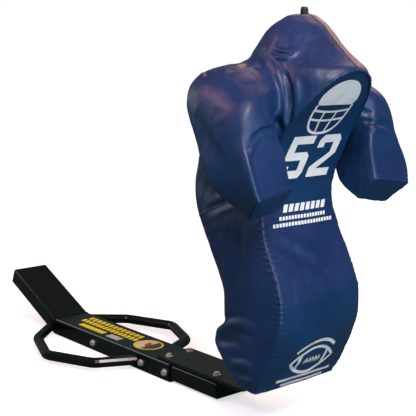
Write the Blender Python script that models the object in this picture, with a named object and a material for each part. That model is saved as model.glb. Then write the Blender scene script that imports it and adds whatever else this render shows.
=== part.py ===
"""Tackling dummy on a one-man sled: a hooded foam figure on a steel leaf, in front of a box-tube beam.

Metres, +Z up. The figure faces -Y, and the sled beam runs back along +Y. The origin is on the ground,
under the middle of the straight beam. Heights are from the ground, and places along Y are measured from
the nose tube's front end, with minus values in front of it.
"""

import math

import bmesh
import bpy
from mathutils import Matrix, Vector

# Clearances
TOUCH = 0.0003                 # between two faces that rest on each other
HOLE_PLAY = 0.0006             # radial, round a bolt
FOAM_FIT = 0.0006              # round the board and the leaf inside the foam
BLOCK_GAP = 0.0005             # half the gap between the lower and the upper foam
SEAM_GAP = 0.0004              # from a seam's line to a panel's edge

# Sled beam: 7 x 3 x 1/4 inch box tube
BEAM_WIDTH = 0.1778
BEAM_HEIGHT = 0.0762
BEAM_WALL = 0.00635
BEAM_CORNER = 0.0095
BEAM_LENGTH = 0.867            # along the top, from the step to the bend
TAIL_LENGTH = 0.414            # along its top edge
TAIL_RISE = math.radians(24.1)
END_PLATE = 0.005

# Nose tube, telescoped into the beam
NOSE_REACH = 0.276             # how far it stands out of the beam
NOSE_INSIDE = 0.620            # how far it runs inside
NOSE_PLAY = 0.0016             # all its play in the beam, in width and in height
NOSE_WALL = 0.00635

# Side handles: 1 1/4 inch pipe
PIPE_DIAMETER = 0.0422
PIPE_WALL = 0.0036
PIPE_BEND = 0.060              # centreline radius
PIPE_SIDES = 12
PIPE_BEND_STEPS = 3
HANDLE_HEIGHT = 0.0381
HANDLE_PLACE = 0.837           # the middle between its two welds
HANDLE_LENGTH = 0.670          # between the two welds
HANDLE_REACH = 0.242           # from the beam's side to the outermost corner
HANDLE_SKEW = -0.040           # the outermost corner, from the middle
SHOULDER_REACH = 0.152         # from the beam's side to the two corners beside it
SHOULDER_LENGTH = 0.455        # between those two corners
SHOULDER_SKEW = -0.032         # their middle, from the handle's middle

# Leaf: 1/2 inch spring steel
LEAF_THICKNESS = 0.0127
LEAF_WIDTH = 0.165
LEAF_REAR = 0.355              # its rear end
LEAF_STRAIGHT = -0.120         # where its bend starts
LEAF_BEND = 0.110              # centreline radius
LEAF_LEAN = math.radians(6.3)  # the upright leans back
LEAF_UPRIGHT = 0.700
LEAF_STEPS = 10

# Bolts down through the leaf, and across the beam: 1/2 inch, hex heads
BOLT_DIAMETER = 0.0127
BOLT_FLATS = 0.0190
BOLT_HEAD = 0.0080
BOLT_TAIL = 0.0030             # thread past the nut
WASHER_DIAMETER = 0.0300
WASHER_THICKNESS = 0.0025
NUT_THICKNESS = 0.0110
LEAF_BOLT_SPACING = 0.104
LEAF_BOLT_PLACES = (0.027, 0.320)
CROSS_BOLT_PLACES = (0.302, 0.460, 0.819)
CROSS_BOLT_HEIGHT = 0.0360

# Backing board on the upright, its 3/8 inch elevator bolts and their flange nuts
BOARD_THICKNESS = 0.018
BOARD_WIDTH = 0.250
BOARD_RISE = 0.050             # its lower edge, up the upright
BOARD_HEIGHT = 0.860
BOARD_BOLT_DIAMETER = 0.0095
BOARD_BOLT_CAP = 0.0250        # flat head, let into the board
BOARD_BOLT_HEAD = 0.0030
BOARD_BOLT_TAIL = 0.0020
BOARD_BOLT_SPACING = 0.090
BOARD_BOLT_RISES = (0.150, 0.600)
FLANGE_DIAMETER = 0.0220
FLANGE_THICKNESS = 0.0018
FLANGE_NUT_FLATS = 0.0143
FLANGE_NUT_THICKNESS = 0.0095
ROUND_SIDES = 12

# The cross seam and the hood's brim and crown. Heights on the face and on the hood are shares of the way
# from one of these to the next.
WAIST_FRONT = 0.850            # the cross seam, at the front
WAIST_FALL = 0.42              # how much it falls towards the back, per metre
PEAK_HEIGHT = 1.206            # the brim's highest point
CROWN_HEIGHT = 1.385
FACE_SHARES = (0.1966, 0.4213, 0.5899, 0.7303, 0.8427, 0.9270, 0.9747, 0.9916)
HOOD_SHARES = (0.0, 0.1620, 0.4134, 0.6369, 0.8324, 0.9609)
FACE_ROWS = tuple(WAIST_FRONT + (PEAK_HEIGHT - WAIST_FRONT) * share for share in FACE_SHARES)
HOOD_ROWS = tuple(PEAK_HEIGHT + (CROWN_HEIGHT - PEAK_HEIGHT) * share for share in HOOD_SHARES)

# Pad outlines as (height, value), drawn for an upright that starts at this point
OUTLINE_PLACE = -0.2293
OUTLINE_HEIGHT = 0.2049
SHOULDER_HALF = 0.169          # half the body's width where the arms are sewn on
FRONT_LINE = (
    (0.13, -0.325), (0.20, -0.364), (0.30, -0.420), (0.40, -0.454), (0.46, -0.456), (0.53, -0.438),
    (0.60, -0.404), (0.68, -0.364), (0.76, -0.345), (0.86, -0.364), (0.93, -0.392), (1.00, -0.429),
    (1.06, -0.473), (1.11, -0.515), (1.15, -0.549), (1.18, -0.574), (1.206, -0.592), (1.235, -0.568),
    (1.28, -0.528), (1.32, -0.490), (1.355, -0.448), (1.378, -0.400),
)
REAR_LINE = (
    (0.13, -0.240), (0.19, -0.185), (0.24, -0.120), (0.285, -0.084), (0.32, -0.094), (0.36, -0.130),
    (0.45, -0.126), (0.52, -0.096), (0.60, -0.048), (0.68, 0.002), (0.75, 0.044), (0.82, 0.066),
    (0.90, 0.052), (1.00, -0.006), (1.10, -0.068), (1.20, -0.135), (1.24, -0.164), (1.30, -0.206),
    (1.34, -0.238), (1.378, -0.305),
)
SIDE_LINE = (
    (0.13, 0.186), (0.20, 0.203), (0.30, 0.200), (0.40, 0.196), (0.50, 0.193), (0.60, 0.190),
    (0.68, 0.186), (0.76, 0.174), (0.82, 0.164), (0.88, 0.163), (1.02, SHOULDER_HALF),
    (1.12, SHOULDER_HALF), (1.18, 0.167), (1.24, 0.158), (1.30, 0.132), (1.34, 0.105), (1.378, 0.060),
)
# How far the front panel's edge lies in from the side. Over the face that edge is the hood's arched brim.
BRIM_INSETS = (0.009, 0.012, 0.019, 0.036, 0.062, 0.091, 0.126, 0.154)
EDGE_LINE = (
    (0.13, 0.008), (0.20, 0.006), (0.68, 0.006), (WAIST_FRONT, 0.0075),
    *zip(FACE_ROWS, BRIM_INSETS),
)
CROWN_LINE = ((0.13, 0.003), (0.30, 0.009), (0.60, 0.009), (0.84, 0.007), (1.00, 0.005), (1.20, 0.002))
FLANK_ROUND = (
    (0.13, 4.0), (0.70, 4.0), (0.90, 3.8), (1.10, 2.8), (1.20, 1.9), (1.26, 1.3), (1.33, 1.3), (1.378, 1.7),
)
BACK_ROUND = ((0.13, 4.6), (0.70, 4.6), (0.90, 4.0), (1.15, 2.8), (1.25, 2.2), (1.378, 2.0))
HEM_FRONT = 0.142
HEM_RISE = 0.079               # the hem rises over the leaf's bend
HEM_RISE_START = -0.300
HEM_RISE_END = -0.110
FRONT_STEPS = 3                # facets from the middle of the front to the corner seam
FLANK_STEPS = 4                # from there to the widest point
BACK_STEPS = 5                 # from there to the middle of the back
LOWER_ROWS = 13
LOWER_CROWDING = 1.3           # rows lie closer near the hem
CROWN_ROWS = ((0.72, 0.30), (0.36, 0.06))
TILT_FADE = 1.5                # how soon the rows above the cross seam lose its tilt
TILT_PASSES = 40               # a tilted row's height and outline are worked out in turn

# Cover and foam
COVER = 0.0015                 # vinyl-coated fabric
COVER_FIT = 0.0009             # between the cover's inner skin and the foam
FOAM_WALL = 0.022              # the blocks are hollow, with walls this thick
BOARD_FOAM = 0.015             # foam left in front of the board
HOLLOW_ROWS = (*FACE_ROWS[:6], *HOOD_ROWS[:3])
SLOT_SIDE = 0.010              # play beside the leaf where it enters the pad
SLOT_FRONT = 0.018             # play in front of its bend
SLOT_RISE = 0.006              # play above the end of its bend

# Arms. Each row is a section square to the arm's spine: its place along the spine from the hand end,
# its inner and outer sides, its front and rear depths from the spine, and how square it is.
HAND_PLACE = -0.478
HAND_HEIGHT = 0.800
ARM_DROOP = math.radians(54.3)
ARM_SIDES = 18
ARM_ROWS = (
    (0.004, 0.196, 0.336, 0.050, -0.054, 5.0),
    (0.060, 0.192, 0.352, 0.068, -0.078, 5.0),
    (0.120, 0.184, 0.363, 0.086, -0.099, 4.2),
    (0.175, 0.170, 0.367, 0.108, -0.113, 3.4),
    (0.230, 0.140, 0.369, 0.140, -0.117, 2.8),
    (0.290, 0.100, 0.370, 0.160, -0.119, 2.5),
    (0.350, 0.070, 0.368, 0.150, -0.121, 2.4),
    (0.410, 0.040, 0.358, 0.124, -0.117, 2.3),
    (0.455, 0.030, 0.338, 0.096, -0.102, 2.2),
    (0.485, 0.020, 0.310, 0.066, -0.080, 2.2),
    (0.503, 0.010, 0.272, 0.032, -0.052, 2.2),
)
ARM_TWIST = 0.13               # how much the shoulder's outer side falls back, per metre across
ARM_TWIST_START = 0.060
ARM_TWIST_END = 0.230
HAND_FALL = -0.19              # the hand end is cut on a slant: lower towards its outer side, per metre
HAND_LIFT = 0.18               # and higher towards its front
HAND_SPLAY = 0.32              # its front stands further out than its rear, per metre of depth
HAND_SLANT_END = 0.150
ARM_PIVOT_ALONG = 0.357         # the arm bends about this place on its spine

# Webbing loop on the crown: 1 inch webbing
WEBBING_WIDTH = 0.025
WEBBING_THICKNESS = 0.0016
LOOP_SPAN = 0.012
LOOP_HEIGHT = 0.021
LOOP_PLACE = -0.357
LOOP_STEPS = 6

# Closure flap over the joint at the back, from one row of the lower cover to another
FLAP_WIDTH = 0.050
FLAP_THICKNESS = 0.0016
FLAP_FIRST_ROW = 6
FLAP_LAST_ROW = 10

# Places worked out from the sizes above
BEAM_FRONT = -BEAM_LENGTH / 2
BEAM_BEND = BEAM_LENGTH / 2
NOSE = BEAM_FRONT - NOSE_REACH
NOSE_WIDTH = BEAM_WIDTH - 2 * BEAM_WALL - NOSE_PLAY
NOSE_HEIGHT = BEAM_HEIGHT - 2 * BEAM_WALL - NOSE_PLAY
NOSE_TOP = BEAM_HEIGHT - BEAM_WALL - TOUCH
LEAF_CENTRE = BEAM_HEIGHT + TOUCH + LEAF_THICKNESS / 2
LEAF_TOP = LEAF_CENTRE + LEAF_THICKNESS / 2
LEAF_TURN = math.pi / 2 + LEAF_LEAN
BEND_CENTRE = Vector((0, NOSE + LEAF_STRAIGHT, LEAF_CENTRE + LEAF_BEND))
BACKWARD = Vector((0, math.sin(LEAF_TURN), math.cos(LEAF_TURN)))
RISING = Vector((0, -math.cos(LEAF_TURN), math.sin(LEAF_TURN)))
BEND_END = BEND_CENTRE - BACKWARD * LEAF_BEND
PAD_SHIFT = Vector((0, BEND_END.y - OUTLINE_PLACE, BEND_END.z - OUTLINE_HEIGHT))
BOARD_BACK = -(LEAF_THICKNESS / 2 + TOUCH)
BOARD_FRONT = BOARD_BACK - BOARD_THICKNESS
CORNER = FRONT_STEPS
HALF = FRONT_STEPS + FLANK_STEPS + BACK_STEPS
RING = 2 * HALF
ARM_LEANS = [True] * ARM_SIDES
FOAM_INSET = COVER + COVER_FIT
FAR = 3.0

# A frame on the upright: X across, Y back, Z up along it, from the end of the bend
UPRIGHT = Matrix((Vector((1, 0, 0)), BACKWARD, RISING)).transposed().to_4x4()
UPRIGHT.translation = BEND_END


def material(name, colour, roughness, metallic=0.0):
    """One Principled material."""
    made = bpy.data.materials.new(name)
    made.use_nodes = True
    shader = made.node_tree.nodes["Principled BSDF"]
    shader.inputs["Base Color"].default_value = (*colour, 1.0)
    shader.inputs["Roughness"].default_value = roughness
    shader.inputs["Metallic"].default_value = metallic
    made.diffuse_color = (*colour, 1.0)
    return made


def node(name, bm, finish, smooth_angle=None):
    """Turns a bmesh into the named object."""
    bmesh.ops.recalc_face_normals(bm, faces=bm.faces)
    mesh = bpy.data.meshes.new(name)
    bm.to_mesh(mesh)
    bm.free()
    made = bpy.data.objects.new(name, mesh)
    bpy.context.scene.collection.objects.link(made)
    mesh.materials.append(finish)
    if smooth_angle is not None:
        mesh.shade_smooth()
        mesh.set_sharp_from_angle(angle=math.radians(smooth_angle))
    return made


def tool(*bms):
    """A cutting object of one or more solids, drawn as wire and left out of the render."""
    whole = bmesh.new()
    for bm in bms:
        bmesh.ops.recalc_face_normals(bm, faces=bm.faces)
        mesh = bpy.data.meshes.new("piece")
        bm.to_mesh(mesh)
        bm.free()
        whole.from_mesh(mesh)
        bpy.data.meshes.remove(mesh)
    made = node("cutter", whole, CUTTER_FINISH)
    made.hide_render = True
    made.display_type = "WIRE"
    return made


def cut(target, cutter):
    """Takes the cutter out of the target with an exact Boolean, and removes the cutter."""
    modifier = target.modifiers.new("cut", "BOOLEAN")
    modifier.operation = "DIFFERENCE"
    modifier.solver = "EXACT"
    modifier.object = cutter
    bpy.context.view_layer.update()
    graph = bpy.context.evaluated_depsgraph_get()
    mesh = bpy.data.meshes.new_from_object(target.evaluated_get(graph))
    target.modifiers.clear()
    target.data = mesh
    mesh.name = target.name
    bpy.data.objects.remove(cutter, do_unlink=True)
    return target


def bridge(bm, rows, closed=True, leans=None):
    """Joins neighbouring rows of vertices with quads, or with triangles whose diagonals lean as told."""
    count = len(rows[0])
    for low, high in zip(rows, rows[1:]):
        for i in range(count if closed else count - 1):
            j = (i + 1) % count
            if leans is None:
                bm.faces.new((low[i], low[j], high[j], high[i]))
            elif leans[i]:
                bm.faces.new((low[i], low[j], high[j]))
                bm.faces.new((low[i], high[j], high[i]))
            else:
                bm.faces.new((low[i], low[j], high[i]))
                bm.faces.new((low[j], high[j], high[i]))


def loft(rings, leans=None):
    """A solid skinned over equal rings of points, with flat ends."""
    bm = bmesh.new()
    rows = [[bm.verts.new(point) for point in points] for points in rings]
    bridge(bm, rows, leans=leans)
    bm.faces.new(rows[0])
    bm.faces.new(rows[-1])
    return bm


def hoop(rings):
    """A solid whose rings run round and meet, such as a tube's outer and inner walls."""
    bm = bmesh.new()
    rows = [[bm.verts.new(point) for point in points] for points in rings]
    bridge(bm, [*rows, rows[0]])
    return bm


def block(low, high, matrix):
    """A box between two corners, placed by a matrix."""
    bm = bmesh.new()
    bmesh.ops.create_cube(bm, size=1.0)
    size = [b - a for a, b in zip(low, high)]
    middle = [(a + b) / 2 for a, b in zip(low, high)]
    placed = matrix @ Matrix.Translation(middle) @ Matrix.Diagonal((*size, 1.0))
    bmesh.ops.transform(bm, matrix=placed, verts=bm.verts)
    return bm


def circle(matrix, radius, z):
    """Points round the matrix's Z axis."""
    angles = [math.tau * i / ROUND_SIDES for i in range(ROUND_SIDES)]
    return [matrix @ Vector((radius * math.cos(a), radius * math.sin(a), z)) for a in angles]


def hexagon(matrix, flats, z):
    """As many points round a hexagon, which include its corners."""
    points = []
    for i in range(ROUND_SIDES):
        angle = math.tau * i / ROUND_SIDES
        off_flat = (angle + math.pi / 6) % (math.pi / 3) - math.pi / 6
        radius = flats / 2 / math.cos(math.pi / 6 - abs(off_flat))
        points.append(matrix @ Vector((radius * math.cos(angle), radius * math.sin(angle), z)))
    return points


def bar(matrix, radius, low, high):
    """A round bar along the matrix's Z axis."""
    return loft([circle(matrix, radius, low), circle(matrix, radius, high)])


def washer(matrix, bore, diameter, low, high):
    """A flat ring round the matrix's Z axis."""
    return hoop([
        circle(matrix, bore, low),
        circle(matrix, diameter / 2, low),
        circle(matrix, diameter / 2, high),
        circle(matrix, bore, high),
    ])


def nut(matrix, bore, flats, low, high):
    """A hexagonal nut round the matrix's Z axis."""
    return hoop([
        circle(matrix, bore, low),
        hexagon(matrix, flats, low),
        hexagon(matrix, flats, high),
        circle(matrix, bore, high),
    ])


def flange_nut(matrix, bore, low, high):
    """A hexagonal nut whose flange is its upper face."""
    return hoop([
        circle(matrix, bore, low),
        hexagon(matrix, FLANGE_NUT_FLATS, low),
        hexagon(matrix, FLANGE_NUT_FLATS, high - FLANGE_THICKNESS),
        circle(matrix, FLANGE_DIAMETER / 2, high - FLANGE_THICKNESS),
        circle(matrix, FLANGE_DIAMETER / 2, high),
        circle(matrix, bore, high),
    ])


def hex_bolt(matrix, under_head, tip):
    """A bolt along the Z axis, from its tip up to its head."""
    return loft([
        circle(matrix, BOLT_DIAMETER / 2, tip),
        circle(matrix, BOLT_DIAMETER / 2, under_head),
        hexagon(matrix, BOLT_FLATS, under_head),
        hexagon(matrix, BOLT_FLATS, under_head + BOLT_HEAD),
    ])


def elevator_bolt(matrix, tip):
    """A flat-headed bolt, its head just below the frame's origin."""
    return loft([
        circle(matrix, BOARD_BOLT_DIAMETER / 2, tip),
        circle(matrix, BOARD_BOLT_DIAMETER / 2, -BOARD_BOLT_HEAD),
        circle(matrix, BOARD_BOLT_CAP / 2, -BOARD_BOLT_HEAD),
        circle(matrix, BOARD_BOLT_CAP / 2, -TOUCH),
    ])


def secant(line, i):
    """The slope from one outline point to the next."""
    return (line[i + 1][1] - line[i][1]) / (line[i + 1][0] - line[i][0])


def tangent(line, i):
    """The slope at an outline point, flat at a turning point."""
    if i in (0, len(line) - 1):
        return secant(line, min(i, len(line) - 2))
    before, after = secant(line, i - 1), secant(line, i)
    return 2 * before * after / (before + after) if before * after > 0 else 0.0


def line_at(line, height):
    """Reads a smooth curve through an outline's points."""
    if height <= line[0][0]:
        return line[0][1]
    if height >= line[-1][0]:
        return line[-1][1]
    k = next(i for i in range(len(line) - 1) if height <= line[i + 1][0])
    span = line[k + 1][0] - line[k][0]
    t = (height - line[k][0]) / span
    return (
        line[k][1] * (1 + 2 * t) * (1 - t) ** 2
        + line[k + 1][1] * t * t * (3 - 2 * t)
        + tangent(line, k) * span * t * (1 - t) ** 2
        - tangent(line, k + 1) * span * t * t * (1 - t)
    )


def smooth_step(value, start, end):
    """0 before start, 1 after end, smooth between."""
    t = min(max((value - start) / (end - start), 0.0), 1.0)
    return t * t * (3 - 2 * t)


def outline_point(height, index, inset):
    """A point of half the pad's section, counted from the middle of the front round to the back."""
    front = line_at(FRONT_LINE, height) + inset
    rear = line_at(REAR_LINE, height) - inset
    side = line_at(SIDE_LINE, height) - inset
    edge = max(side - line_at(EDGE_LINE, height), 0.0) if height < PEAK_HEIGHT - TOUCH else 0.0
    crown = line_at(CROWN_LINE, height) if edge else 0.0
    widest = (front + rear) / 2
    if index <= FRONT_STEPS:
        share = index / FRONT_STEPS
        return edge * share, front + crown * share * share
    if index <= FRONT_STEPS + FLANK_STEPS:
        power = line_at(FLANK_ROUND, height)
        start = math.acos((edge / side) ** (power / 2))
        depth = (widest - front - crown) / math.sin(start) ** (2 / power)
        angle = start * (1 - (index - FRONT_STEPS) / FLANK_STEPS)
        return side * math.cos(angle) ** (2 / power), widest - depth * math.sin(angle) ** (2 / power)
    power = line_at(BACK_ROUND, height)
    angle = math.pi / 2 * (index - FRONT_STEPS - FLANK_STEPS) / BACK_STEPS
    across = side * math.cos(angle) ** (2 / power) if index < HALF else 0.0
    return across, widest + (rear - widest) * math.sin(angle) ** (2 / power)


def ring(height_of, inset):
    """A ring round the pad. Its height at each point depends on how far back the point lies."""
    points = []
    for index in range(RING):
        height = height_of(OUTLINE_PLACE)
        for _ in range(TILT_PASSES):
            across, place = outline_point(height, min(index, RING - index), inset)
            height = height_of(place)
        side = 1 if index <= HALF else -1
        points.append(Vector((side * across, place, height)) + PAD_SHIFT)
    return points


def hem_height(place):
    """The pad's lower edge, which rises over the leaf's bend."""
    return HEM_FRONT + HEM_RISE * smooth_step(place, HEM_RISE_START, HEM_RISE_END)


def waist_height(place):
    """The cross seam, which falls towards the back."""
    return WAIST_FRONT - WAIST_FALL * (place - line_at(FRONT_LINE, WAIST_FRONT))


def lower_rings(inset, lift, drop):
    """Rings from the hem to the cross seam, with the first one lifted and the last one dropped."""
    rings = []
    for k in range(LOWER_ROWS + 1):
        share = (k / LOWER_ROWS) ** LOWER_CROWDING
        shift = {0: lift, LOWER_ROWS: -drop}.get(k, 0.0)
        rings.append(ring(
            lambda place: hem_height(place) * (1 - share) + waist_height(place) * share + shift, inset,
        ))
    return rings


def upper_rings(inset, levels, lift):
    """Rings from the cross seam, the first one lifted. Their tilt dies out at the brim's peak."""
    rings = [ring(lambda place: waist_height(place) + lift, inset)]
    for level in levels:
        fade = max((PEAK_HEIGHT - level) / (PEAK_HEIGHT - WAIST_FRONT), 0.0) ** TILT_FADE
        rings.append(ring(lambda place: level + (waist_height(place) - WAIST_FRONT) * fade, inset))
    return rings


def crowned(rings, inset):
    """Adds the rings that close the crown."""
    last = rings[-1]
    centre = sum(last, Vector()) / len(last)
    top = CROWN_HEIGHT - inset + PAD_SHIFT.z
    added = [
        [Vector((p.x * share, centre.y + (p.y - centre.y) * share, top - (top - p.z) * drop)) for p in last]
        for share, drop in CROWN_ROWS
    ]
    return [*rings, *added]


def pad_leans(start, end):
    """How the diagonals lean between two ring indices: one way on the left half, the other on the right."""
    return [index % RING < HALF for index in range(start, end)]


def strip_cap(bm, row):
    """Closes a ring with strips across it, from its front to its back."""
    bm.faces.new((row[0], row[1], row[-1]))
    for i in range(1, HALF - 1):
        bm.faces.new((row[i], row[i + 1], row[RING - i - 1], row[RING - i]))
    bm.faces.new((row[HALF - 1], row[HALF], row[HALF + 1]))


def pad_solid(rings):
    """A solid between rings of the pad."""
    bm = bmesh.new()
    rows = [[bm.verts.new(p) for p in points] for points in rings]
    bridge(bm, rows, leans=pad_leans(0, RING))
    strip_cap(bm, rows[0])
    strip_cap(bm, rows[-1])
    bmesh.ops.remove_doubles(bm, verts=bm.verts, dist=TOUCH / 10)
    return bm


def panel(outer_rows, inner_rows, leans=None):
    """A thin solid between two matching grids of points."""
    bm = bmesh.new()
    outer = [[bm.verts.new(p) for p in row] for row in outer_rows]
    inner = [[bm.verts.new(p) for p in row] for row in inner_rows]
    bridge(bm, outer, closed=False, leans=leans)
    bridge(bm, inner, closed=False, leans=leans)
    bridge(bm, [outer[0], inner[0]], closed=False)
    bridge(bm, [outer[-1], inner[-1]], closed=False)
    for column in (0, -1):
        bridge(bm, [[row[column] for row in outer], [row[column] for row in inner]], closed=False)
    bmesh.ops.remove_doubles(bm, verts=bm.verts, dist=TOUCH / 10)
    return bm


def columns(rings, start, end):
    """The points of each ring from one index to another, drawn in at both seams."""
    rows = []
    for points in rings:
        row = [points[i % RING] for i in range(start, end + 1)]
        first = (row[1] - row[0]).normalized() * SEAM_GAP
        last = (row[-2] - row[-1]).normalized() * SEAM_GAP
        row[0] = row[0] + first
        row[-1] = row[-1] + last
        rows.append(row)
    return rows


def hood_half(rings, mirror):
    """Half of the hood's points, kept a seam's gap off the middle, with a last row along the crown."""
    rows = []
    for points in rings:
        row = [Vector((mirror * max(p.x, SEAM_GAP), p.y, p.z)) for p in points[CORNER:HALF + 1]]
        if points[CORNER].x > SEAM_GAP:
            row[0] = row[0] + (row[1] - row[0]).normalized() * SEAM_GAP
        rows.append(row)
    rows.append([Vector((mirror * SEAM_GAP, p.y, p.z)) for p in rows[-1]])
    return rows


def rounded_rectangle(width, height, corner, steps=3):
    """Points of a rounded rectangle as (x, z), centred."""
    points = []
    for side_x, side_z, start in ((1, 1, 0), (-1, 1, 90), (-1, -1, 180), (1, -1, 270)):
        for i in range(steps + 1):
            angle = math.radians(start + 90 * i / steps)
            x = side_x * (width / 2 - corner) + corner * math.cos(angle)
            z = side_z * (height / 2 - corner) + corner * math.sin(angle)
            points.append((x, z))
    return points


def box_tube(name, width, height, wall, start, end, matrix):
    """A box tube along local Y. An end is its place at the top, and how far the bottom runs on per metre."""
    outer = rounded_rectangle(width, height, BEAM_CORNER)
    inner = rounded_rectangle(width - 2 * wall, height - 2 * wall, BEAM_CORNER - wall)

    def end_ring(points, plane):
        place, slope = plane
        return [matrix @ Vector((x, place + slope * (height / 2 - z), z - height / 2)) for x, z in points]

    bm = hoop([end_ring(outer, start), end_ring(outer, end), end_ring(inner, end), end_ring(inner, start)])
    return node(name, bm, BLACK_STEEL, 40)


def end_plate(name, width, height, place, matrix):
    """A plate welded over a tube's end."""
    outline = rounded_rectangle(width, height, BEAM_CORNER)
    rings = [
        [matrix @ Vector((x, y, z - height / 2)) for x, z in outline] for y in (place, place + END_PLATE)
    ]
    return node(name, loft(rings), BLACK_STEEL, 40)


def rounded_path(corners, radius, steps):
    """A line through corner points, with its corners bent round."""
    points = [corners[0]]
    for before, here, after in zip(corners, corners[1:], corners[2:]):
        into = (here - before).normalized()
        out = (after - here).normalized()
        turn = into.angle(out)
        axis = into.cross(out).normalized()
        start = here - into * radius * math.tan(turn / 2)
        centre = start + axis.cross(into) * radius
        for i in range(steps + 1):
            points.append(centre + Matrix.Rotation(turn * i / steps, 3, axis) @ (start - centre))
    points.append(corners[-1])
    return points


def handle_path():
    """The left handle's centreline."""
    side = BEAM_WIDTH / 2 + TOUCH
    middle = NOSE + HANDLE_PLACE
    shoulder = middle + SHOULDER_SKEW
    plan = (
        (side, middle + HANDLE_LENGTH / 2),
        (side + SHOULDER_REACH, shoulder + SHOULDER_LENGTH / 2),
        (side + HANDLE_REACH, middle + HANDLE_SKEW),
        (side + SHOULDER_REACH, shoulder - SHOULDER_LENGTH / 2),
        (side, middle - HANDLE_LENGTH / 2),
    )
    return rounded_path([Vector((x, y, HANDLE_HEIGHT)) for x, y in plan], PIPE_BEND, PIPE_BEND_STEPS)


def side_handle(name, mirror):
    """A bent pipe whose ends are cut flat against the beam's side."""
    path = handle_path()
    last = len(path) - 1
    up = Vector((0, 0, 1))
    skins = []
    for radius in (PIPE_DIAMETER / 2, PIPE_DIAMETER / 2 - PIPE_WALL):
        rings = []
        for k, point in enumerate(path):
            along = (path[min(k + 1, last)] - path[max(k - 1, 0)]).normalized()
            across = along.cross(up)
            points = []
            for i in range(PIPE_SIDES):
                angle = math.tau * (i + 0.5) / PIPE_SIDES
                place = point + across * (radius * math.cos(angle)) + up * (radius * math.sin(angle))
                if k in (0, last):
                    place += along * ((point.x - place.x) / along.x)
                points.append(Vector((mirror * place.x, place.y, place.z)))
            rings.append(points)
        skins.append(rings)
    return node(name, hoop([*skins[0], *reversed(skins[1])]), BLACK_STEEL, 50)


def leaf_station(angle):
    """The leaf's centre, and the direction of its upper side, at an angle round its bend."""
    inward = Vector((0, math.sin(angle), math.cos(angle)))
    return BEND_CENTRE - inward * LEAF_BEND, inward


def leaf_piece(name, stations):
    """A stretch of the leaf through its stations."""
    wide = Vector((LEAF_WIDTH / 2, 0, 0))
    rings = []
    for centre, inward in stations:
        half = inward * (LEAF_THICKNESS / 2)
        rings.append([centre - wide - half, centre + wide - half, centre + wide + half, centre - wide + half])
    return node(name, loft(rings), SPRING_STEEL, 30)


def arm_point(mirror, x, along, depth):
    """A point of an arm from its place along the spine and its depth in front of it."""
    place = HAND_PLACE + along * math.cos(ARM_DROOP) - depth * math.sin(ARM_DROOP)
    height = HAND_HEIGHT + along * math.sin(ARM_DROOP) + depth * math.cos(ARM_DROOP)
    return Vector((mirror * x, place + PAD_SHIFT.y, height + PAD_SHIFT.z))


def arm_ring(mirror, row, inset, along, root):
    """One section of an arm, cut off flat at its root."""
    _, inner, outer, front, rear, power = row
    middle = (inner + outer) / 2
    twist = ARM_TWIST * smooth_step(along, ARM_TWIST_START, ARM_TWIST_END)
    slant = 1 - smooth_step(along, 0.0, HAND_SLANT_END)
    points = []
    for i in range(ARM_SIDES):
        angle = math.tau * (i + 0.5) / ARM_SIDES
        across = math.copysign(abs(math.cos(angle)) ** (2 / power), math.cos(angle))
        ahead = math.copysign(abs(math.sin(angle)) ** (2 / power), math.sin(angle))
        depth = (front + rear) / 2 + ((front - rear) / 2 - inset) * ahead
        splay = slant * HAND_SPLAY * depth
        x = max(middle + ((outer - inner) / 2 - inset) * across + splay, root)
        raised = slant * (HAND_FALL * (x - middle) + HAND_LIFT * depth)
        points.append(arm_point(mirror, x, along + raised, depth - twist * (x - middle)))
    return points


def arm_rings(mirror, inset, hand_inset, root):
    """All the sections of an arm, drawn in at the hand and at the shoulder's top."""
    places = [row[0] for row in ARM_ROWS]
    places[0] += hand_inset
    places[-1] -= inset
    return [arm_ring(mirror, row, inset, along, root) for row, along in zip(ARM_ROWS, places)]


def sleeve(outer_rings, inner_rings):
    """Two skins, joined at the hand end and closed at the shoulder."""
    bm = bmesh.new()
    skins = [[[bm.verts.new(p) for p in points] for points in rings] for rings in (outer_rings, inner_rings)]
    for rows in skins:
        bridge(bm, rows, leans=ARM_LEANS)
        bm.faces.new(rows[-1])
    bridge(bm, [skins[0][0], skins[1][0]])
    return bm


def pivot(name, location, pieces):
    """An empty on a joint's axis, with the moving pieces parented to it where they lie."""
    empty = bpy.data.objects.new(name, None)
    empty.location = location
    empty.empty_display_size = 0.05
    bpy.context.scene.collection.objects.link(empty)
    bpy.context.view_layer.update()
    for piece in pieces:
        piece.parent = empty
        piece.matrix_parent_inverse = empty.matrix_world.inverted()
    return empty


for stale in list(bpy.data.objects):
    bpy.data.objects.remove(stale, do_unlink=True)

CUTTER_FINISH = material("cutter", (1.0, 0.2, 0.1), 0.5)
BLACK_STEEL = material("black_gloss_paint", (0.012, 0.016, 0.014), 0.25, 0.3)
SPRING_STEEL = material("painted_spring_steel", (0.014, 0.024, 0.018), 0.35, 0.4)
ZINC = material("zinc_plate", (0.62, 0.60, 0.55), 0.32, 1.0)
PLYWOOD = material("plywood", (0.55, 0.38, 0.21), 0.7)
FOAM = material("charcoal_foam", (0.16, 0.16, 0.17), 0.95)
NAVY_VINYL = material("navy_vinyl", (0.020, 0.050, 0.160), 0.42)
WEBBING = material("black_webbing", (0.010, 0.010, 0.011), 0.8)

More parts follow.
